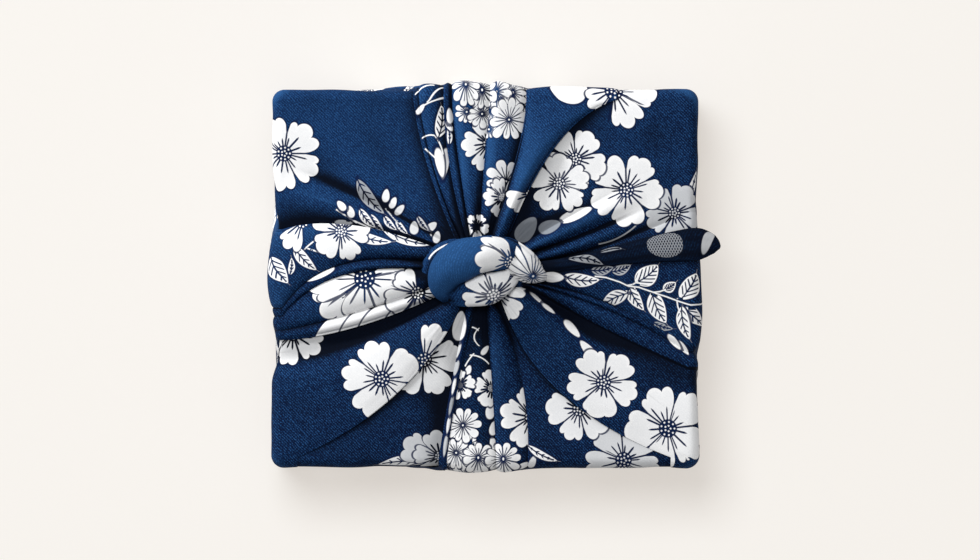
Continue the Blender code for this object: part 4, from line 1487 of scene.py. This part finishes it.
def ring_of_dots(radius, angle, ring):
    """How far a place is from the nearest of some dots round the centre."""
    count, reach = ring
    turn = abs(radius.math("WRAP", angle, -math.pi / count, math.pi / count))
    return ellipse(turn * reach, radius - reach)


def drawn_blossom(x, y, size, seed, spin, width, is_mum, is_lobe):
    """(white, edge) of a blossom, of one petal of it, or of a chrysanthemum."""
    radius = ellipse(x, y)
    straight = x.math("ARCTAN2", y, x)
    angle = straight + x.math("SINE", straight * 2.0 + seed * 3.0) * WOBBLE
    petals = is_mum * PETALS + PETALS
    turn = angle * petals / (2 * math.pi)
    number = x.math("ROUND", turn)
    aside = (turn - number) * 2.0  # -1 to 1 across a petal
    off = abs(aside)
    chance_a, chance_b, chance_c = chances_of(x.math("WRAP", number, 0.0, petals), seed)
    single = 1.0 - is_mum

    notched = aside + chance_b * NOTCH_SHIFT - NOTCH_SHIFT / 2
    lobes = abs(x.math("COSINE", notched * math.pi * NOTCHES))
    fall = off**2.0 * (is_mum * MUM_ROUNDER + ROUNDER)
    tip = TIP + chance_a * TIP_VARIES - fall - off**5.0 * BLUNTER
    tip = tip - (1.0 - lobes**NOTCH_SHARP) * (chance_c * NOTCH_VARIES + NOTCH) * single
    tip = tip - chance_c * MUM_VARIES * is_mum
    tip = tip * ((width - 0.5) * is_lobe * LOBE_LONGER + 1.0)
    inside = (tip - radius) * size
    from_side = (0.5 - abs(turn)) * radius * size * (2 * math.pi) / petals
    inside = inside.least(from_side + (1.0 - is_lobe) * EVERYWHERE)
    gap = (radius - GAP_FROM).most(0.0) * size * GAP_OPENS * single
    gap = gap + single * BLOSSOM_GAP + PETAL_GAP
    parted = (1.0 - off) * radius * size * math.pi / petals - gap

    place = aside + chance_b * STROKE_SHIFT - STROKE_SHIFT / 2
    stroke_number = x.math("ROUND", place / STROKE_APART)
    longer, shift = chances_of(number * SEED_STEP + stroke_number, seed)[:2]
    shift = (shift - 0.5) * STROKE_SHIFT_EACH
    from_stroke = abs(place - stroke_number * STROKE_APART * single + shift)
    aside_mm = from_stroke * radius * size * math.pi / petals
    end = longer * STROKE_VARIES + STROKE_END + is_mum * MUM_STROKE_LONGER
    thick = (end - radius).most(0.0).least(STROKE_MOST)
    thick = thick * (STROKE_TAPER - is_mum * MUM_STROKE_TAPER)
    stroke = (thick - aside_mm).rises(-STROKE_EDGE, STROKE_EDGE)
    stroke = stroke * (end - radius).rises(0.0, STROKE_FADE)
    stroke = stroke * off.rises(STROKE_SIDE_FROM, STROKE_SIDE_FULL)

    outer = ring_of_dots(radius, spin, OUTER_DOTS)
    dots = ring_of_dots(radius, spin, INNER_DOTS).least(outer) * size
    dots = (dots * single + radius * size * is_mum).rises(DOT_NONE, DOT_FULL)
    dots = dots * size.rises(DOTS_FROM, DOTS_FULL).most(is_mum)
    hole = (radius - single * HOLE) * size - is_mum * MUM_HOLE
    hole = hole.rises(-HOLE_EDGE, HOLE_EDGE)
    head = inside.rises(-SOFT, SOFT) * parted.rises(-SOFT, SOFT)
    white = (head * (1.0 - stroke) * hole).most(dots * (1.0 - hole))
    return white, inside


print("a blossom has", int(PETALS), "petals, and a chrysanthemum", int(2 * PETALS))

# %% [markdown]
# ## Drawing the rest
#
# Leaves, stems, loose petals and the netted oval need only a line or two each: a form
# that is above 0 inside, and the lines that are left out of it.

# %% Leaves, stems and petals
LEAF_BEND, LEAF_MIDDLE = 0.14, 0.05
LEAF_POINTED, LEAF_TAPER = 0.75, 0.25  # its tips, and how much it narrows to one end
VEIN_APART, VEIN_SLANT = 0.2, 1.3
VEINS_FROM, VEINS_FULL = 0.5, 0.9  # mm inside the leaf's rim
VEIN_WIDE, VEIN_THIN = 0.72, 0.34  # mm from a vein at which the white is full, and none
RIB_WIDE, RIB_THIN = 0.50, 0.24
RIB_END, RIB_FADE = 0.84, 0.05
STEM_WIDE, STEM_THIN = 0.52, 0.22
STEM_LEVEL, STEM_BEND, STEM_END = 0.4, 1.6, 0.05
EGG = 0.22  # how much wider one end of a petal is
NET_HALF, NET_SLANT = 0.075, 1.1  # half a mesh of the net, and its slant
MESH_WIDE, MESH_THIN, OVAL_EDGE = 0.042, 0.016, 0.04
NO_EDGE = 9.0  # mm outside, so that no outline is drawn


def drawn_leaf(x, y, size, width):
    """(white, edge) of a leaf: a pointed lens with a midrib and side veins."""
    bent = abs(y - x * x * LEAF_BEND + LEAF_MIDDLE)
    half = (1.0 - x * x).most(0.0) ** LEAF_POINTED * (1.0 - x * LEAF_TAPER) * width
    inside = (half - bent) * size
    vein = abs(x.math("WRAP", x - bent * VEIN_SLANT, -VEIN_APART, VEIN_APART)) * size
    vein = vein.rises(VEIN_WIDE, VEIN_THIN) * inside.rises(VEINS_FROM, VEINS_FULL)
    rib = (bent * size).rises(RIB_WIDE, RIB_THIN) * (RIB_END - x).rises(0.0, RIB_FADE)
    white = inside.rises(-SOFT, SOFT) * (1.0 - vein.most(rib))
    return white, inside


def drawn_stem(x, y, size, bend):
    """White of a stem: a thin curved line."""
    aside = abs(y + (x * x - STEM_LEVEL) * (0.5 - bend) * STEM_BEND) * size
    return aside.rises(STEM_WIDE, STEM_THIN) * (1.0 - abs(x)).rises(-STEM_END, 0.0)


def drawn_petal(x, y, size, width):
    """(white, edge) of a loose petal, a bud or a berry: an egg."""
    inside = (1.0 - ellipse(x, y / (width * (1.0 - x * EGG)))) * width * size
    return inside.rises(-SOFT, SOFT), inside


def drawn_net(x, y, width):
    """White of an oval filled with crossed threads."""
    inside = (1.0 - ellipse(x, y / width)).rises(0.0, OVAL_EDGE)
    threads = [
        abs(x.math("WRAP", x + y * slant, -NET_HALF, NET_HALF)).rises(MESH_WIDE, MESH_THIN)
        for slant in (NET_SLANT, -NET_SLANT)
    ]
    return inside * threads[0].most(threads[1])


def drawn_motif(slot, u, v):
    """(white, tone, edge in mm) of the motif in one slot."""
    where = u.node("Attribute", {"attribute_name": f"where_{slot}"}, output=1)
    form = u.node("Attribute", {"attribute_name": f"form_{slot}"}, output=1)
    centre_u, centre_v, seed = parts_of(where)
    cosine, sine, kind_and_width = parts_of(form)
    kind = u.math("FLOOR", kind_and_width)
    width = u.math("FRACT", kind_and_width)
    tone = u.math("FRACT", seed)
    size = 1.0 / ellipse(cosine, sine).most(0.001)
    du, dv = (u - centre_u) * PER_METRE, (v - centre_v) * PER_METRE
    x, y = du * cosine + dv * sine, dv * cosine - du * sine

    is_mum, is_leaf, is_petal = [kind.is_kind(k) for k in (MUM, LEAF, PETAL)]
    is_lobe = kind.is_kind(LOBE)
    is_head = is_mum.most(kind.is_kind(BLOSSOM)).most(is_lobe)
    spin = dv.math("ARCTAN2", dv, du)
    head, head_edge = drawn_blossom(x, y, size, seed, spin, width, is_mum, is_lobe)
    leaf, leaf_edge = drawn_leaf(x, y, size, width)
    petal, petal_edge = drawn_petal(x, y, size, width)
    white = head * is_head + leaf * is_leaf + petal * is_petal
    white = white + drawn_stem(x, y, size, width) * kind.is_kind(STEM)
    white = white + drawn_net(x, y, width) * kind.is_kind(NET)
    edge = head_edge * is_head + leaf_edge * is_leaf + petal_edge * is_petal
    edge = edge - (1.0 - is_head.most(is_leaf).most(is_petal)) * NO_EDGE
    return white, tone, edge


print("each slot of a face can hold any of", LOBE, "kinds")

# %% [markdown]
# ## Printed cotton
#
# The cloth is matt. Its weave shows as fine slanting lines, a little over a millimetre
# apart, in the colour and in the bump, and each thread takes the dye a little
# differently. The indigo has a random mottle, and painted light makes it paler towards
# the back left, where the key lamp stands, and painted shade darker to the right. The
# print is laid over it, the top-most motif last, each inside a line of dark ink.

# %% Colours and weave
INDIGO = (0.0080, 0.040, 0.132, 1.0)
INDIGO_DEEP = (0.0010, 0.0055, 0.026, 1.0)
# pale indigo of the light threads, also used for the painted highlight on crests
INDIGO_LIGHT = (0.026, 0.110, 0.300, 1.0)
WHITE = (0.95, 0.95, 0.955, 1.0)
WHITE_INSIDE = (0.84, 0.85, 0.87, 1.0)
# grey of a motif with a low tone: partly a grey print, partly painted shade
GREY = (0.075, 0.105, 0.15, 1.0)
INK = (0.0030, 0.0120, 0.055, 1.0)
# near-black painted shade in creases, and how far it goes at most
PAINTED_CREASE_SHADE, CREASE_MOST = (0.0004, 0.0016, 0.0060, 1.0), 0.97
THREAD = 1.15  # mm from one slanting line of the weave to the next
DIAGONAL = 1.414
ROUGH, ROUGH_VARIES, SHEEN = 0.84, 0.06, 0.08
YARN = 0.7  # mm across one thread
WAVER = 5.0  # how far the lines wander, in radians
WEAVE_CROSSED = 0.4  # how much the falling lines break up the rising ones
WEAVE_DYE, FLECK_DYE, MOTTLE_AND_PAINTED_LIGHT_SHARE, YARN_DYE, LEAST_DYE = 0.9, 0.08, 0.65, 0.65, -0.68
FLECK_FROM, FLECK_FULL = 0.35, 0.65
FADE_VARIES, FADE_LEAST, FADE_FROM, FADE_FULL = 0.3, 0.09, 0.1, 0.9
PAINTED_LIGHT_BACK, BACK_FULL = 0.48, 0.06  # how much painted light pales the back, and metres to there
DARK_FROM, PAINTED_SHADE_RIGHT = 0.02, 2.5  # painted shade: metres to the right, and how fast it goes darker
LIGHT_WEAVE, LIGHT_THREAD, LIGHT_MOST = 0.7, 0.5, 0.66  # the pale flecks of threads
LIGHT_FROM, LIGHT_FULL = 0.66, 1.1
INK_FROM, INK_FULL = -OUTLINE, -0.8  # mm outside a motif
RIM_FROM, RIM_FULL = 2.6, 0.8  # mm inside it, for its whitest rim
INK_MOST, RIM_WHITE, WEAVE_WHITE, THREAD_WHITE = 0.9, 0.6, 0.2, 0.5
CREST_FROM, CREST_FULL, CREST_LEAST = 0.1, 0.9, 0.18  # how strong the painted highlight on crests is
CREST_BACK_FROM, CREST_BACK = 0.02, 0.28  # metres to the back, and how much more painted highlight there
CREASE_FROM, CREASE_FULL = -0.2, 0.8  # hollows where the painted shade starts, and where it is darkest
WHITE_SHALLOWER, WHITE_PALER = 0.25, 0.56  # how much less painted shade a white print takes
BUMP, BUMP_HEIGHT = 0.35, 0.00012  # its strength, and its height in metres
BUMP_WEAVE, BUMP_FLECK = 0.7, 0.6
print("the weave's lines lie", THREAD, "mm apart")

# %% [markdown]
# ## The cotton's material
#
# The ground is mixed first, from its deepest dye to the light flecks of the threads.
# The motifs of the three slots are laid on it, the lowest first. Then crests get a
# painted highlight and hollows painted shade, which a white print shows less than the indigo.

# %% Cotton
def printed_cotton():
    material = bpy.data.materials.new("printed_cotton")
    material.use_nodes = True
    tree = material.node_tree
    shader = tree.nodes["Principled BSDF"]
    uv_node = tree.nodes.new("ShaderNodeUVMap")
    uv_node.uv_map = CLOTH_MAP
    uv = Wire(uv_node.outputs[0])
    u = uv.node("SeparateXYZ", values={0: uv}, output=0)
    v = uv.node("SeparateXYZ", values={0: uv}, output=1)

    to_mm = uv.node("VectorMath", {"operation": "SCALE"}, {0: uv, "Scale": PER_METRE})

    def noise(scale, detail, roughness=0.5):
        values = {"Vector": to_mm, "Scale": scale, "Detail": detail, "Roughness": roughness}
        return uv.node("TexNoise", {"noise_dimensions": "2D"}, values)

    diagonals = (u + v, u - v)
    turns = 2 * math.pi * PER_METRE / THREAD / DIAGONAL
    waver = noise(0.35, 2.0)
    rising, falling = [u.math("SINE", d * turns + waver * WAVER) for d in diagonals]
    weave = rising * (falling * WEAVE_CROSSED + (1 - WEAVE_CROSSED)) * 0.5 + 0.5
    fleck = noise(1.1, 3.0, 0.8)
    cells = [u.math("FLOOR", d * (PER_METRE / YARN)) for d in diagonals]
    cell = u.node("CombineXYZ", values=dict(enumerate(cells)))
    thread = cell.node("TexWhiteNoise", {"noise_dimensions": "2D"}, {0: cell})
    # a random mottle, with painted light paler towards the back and painted shade darker to the
    # right
    mottle_and_painted_light = noise(0.035, 3.0) * FADE_VARIES + FADE_LEAST + v.rises(0.0, BACK_FULL) * PAINTED_LIGHT_BACK
    mottle_and_painted_light = mottle_and_painted_light - u - (u - DARK_FROM).most(0.0) * PAINTED_SHADE_RIGHT

    depth = weave * WEAVE_DYE + fleck.rises(FLECK_FROM, FLECK_FULL) * FLECK_DYE
    depth = depth + mottle_and_painted_light.rises(FADE_FROM, FADE_FULL) * MOTTLE_AND_PAINTED_LIGHT_SHARE + LEAST_DYE
    ground = (depth + thread * YARN_DYE).mixed(INDIGO_DEEP, INDIGO)
    light = (weave * LIGHT_WEAVE + thread * LIGHT_THREAD).rises(LIGHT_FROM, LIGHT_FULL)
    colour = (light * LIGHT_MOST).mixed(ground, INDIGO_LIGHT)
    whitest = u * 0.0
    for slot in reversed(range(SLOTS)):
        white, tone, edge = drawn_motif(slot, u, v)
        whitest = whitest.most(white)
        colour = (edge.rises(INK_FROM, INK_FULL) * INK_MOST).mixed(colour, INK)
        rim = edge.rises(RIM_FROM, RIM_FULL) * RIM_WHITE
        whiter = rim + weave * WEAVE_WHITE + thread * THREAD_WHITE
        cloth_white = tone.mixed(GREY, whiter.mixed(WHITE_INSIDE, WHITE))
        colour = white.least(1.0).mixed(colour, cloth_white)
    hollow = uv.node("Attribute", {"attribute_name": "hollow"}, output=2)
    # painted highlight on crests, stronger towards the back, then painted shade in hollows
    crest = (hollow * -1.0).rises(CREST_FROM, CREST_FULL) * (1.0 - whitest)
    crest = crest * (v.rises(CREST_BACK_FROM, BACK_FULL) * CREST_BACK + CREST_LEAST)
    colour = crest.mixed(colour, INDIGO_LIGHT)
    creased = (hollow - whitest * WHITE_SHALLOWER).rises(CREASE_FROM, CREASE_FULL)
    creased = creased * (CREASE_MOST - whitest * WHITE_PALER)
    colour = creased.mixed(colour, PAINTED_CREASE_SHADE)
    tree.links.new(colour.socket, shader.inputs["Base Color"])
    rough = weave * ROUGH_VARIES + ROUGH
    tree.links.new(rough.socket, shader.inputs["Roughness"])
    shader.inputs["Specular IOR Level"].default_value = SHEEN
    height = weave * BUMP_WEAVE + fleck * BUMP_FLECK
    bump = {"Strength": BUMP, "Distance": BUMP_HEIGHT, "Height": height}
    bump = uv.node("Bump", values=bump)
    tree.links.new(bump.socket, shader.inputs["Normal"])
    print("the cotton has", len(tree.nodes), "nodes")
    return material


cotton = printed_cotton()
for piece in pieces:
    piece.data.materials.append(cotton)

# %% [markdown]
# ## Floor and light
#
# A warm white floor that glows a little, and one broad lamp from the back left, give the
# soft shadow to the front right. A second lamp grazes the cloth alone, so that its
# folds stand out. A pale sky fills the rest. The creases, with their painted shade, go
# dark but never black.

# %% Stage
FLOOR_HALF = 1.6
FLOOR_COLOUR = (0.43, 0.45, 0.46, 1.0)
FLOOR_GLOW, GLOW_STRENGTH = (1.0, 0.925, 0.845, 1.0), 0.625
SKY, SKY_STRENGTH = (0.95, 0.97, 1.0, 1.0), 0.20


def floor_material():
    material = bpy.data.materials.new("pale_floor")
    material.use_nodes = True
    inputs = material.node_tree.nodes["Principled BSDF"].inputs
    inputs["Base Color"].default_value = FLOOR_COLOUR
    inputs["Roughness"].default_value = 1.0
    inputs["Specular IOR Level"].default_value = 0.0
    inputs["Emission Color"].default_value = FLOOR_GLOW
    inputs["Emission Strength"].default_value = GLOW_STRENGTH
    return material


floor_mesh = bmesh.new()
bmesh.ops.create_grid(floor_mesh, x_segments=1, y_segments=1, size=FLOOR_HALF)
floor_data = bpy.data.meshes.new("floor")
floor_mesh.to_mesh(floor_data)
floor_mesh.free()
floor = bpy.data.objects.new("floor", floor_data)
floor_data.materials.append(floor_material())
bpy.context.scene.collection.objects.link(floor)


def lamp(name, place, size, power, warmth=(1.0, 1.0, 1.0)):
    light = bpy.data.lights.new(name, "AREA")
    light.shape = "DISK"
    light.size = size
    light.energy = power
    light.color = warmth
    obj = bpy.data.objects.new(name, light)
    obj.location = place
    obj.rotation_euler = (-Vector(place)).to_track_quat("-Z", "Y").to_euler()
    bpy.context.scene.collection.objects.link(obj)
    return obj


lamp("key_lamp", (-0.48, 0.80, 2.6), size=1.2, power=45.0, warmth=(1.0, 0.99, 0.97))
grazing = lamp("grazing_lamp", (-1.5, 1.5, 1.0), size=0.35, power=40.0)
cloth_only = bpy.data.collections.new("lit_by_grazing_lamp")
for piece in pieces:
    cloth_only.objects.link(piece)
grazing.light_linking.receiver_collection = cloth_only
world = bpy.data.worlds.new("pale_sky")
world.use_nodes = True
sky = world.node_tree.nodes["Background"].inputs
sky["Color"].default_value = SKY
sky["Strength"].default_value = SKY_STRENGTH
bpy.context.scene.world = world
bpy.context.scene.view_settings.view_transform = "Standard"
print("two lamps and a pale sky")

# %% [markdown]
# ## Hand over to the frame
#
# Every piece rides on the one body and stands for the imported solid, which is hidden.
# The size of each one's own share of the square cloth, unfolded, is worked out too.

# %% Attach and finish
NEARLY_WHOLE = 0.95  # of a rectangle

for piece, wide, deep, area in sheets:
    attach(piece, "root")
    share = area / (wide * deep)
    if share > NEARLY_WHOLE:
        deep = area / wide
    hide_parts("furoshiki")

counts = [sum(len(face.vertices) - 2 for face in p.data.polygons) for p in pieces]
print(len(pieces), "pieces,", sum(counts), "triangles, most in one", max(counts))
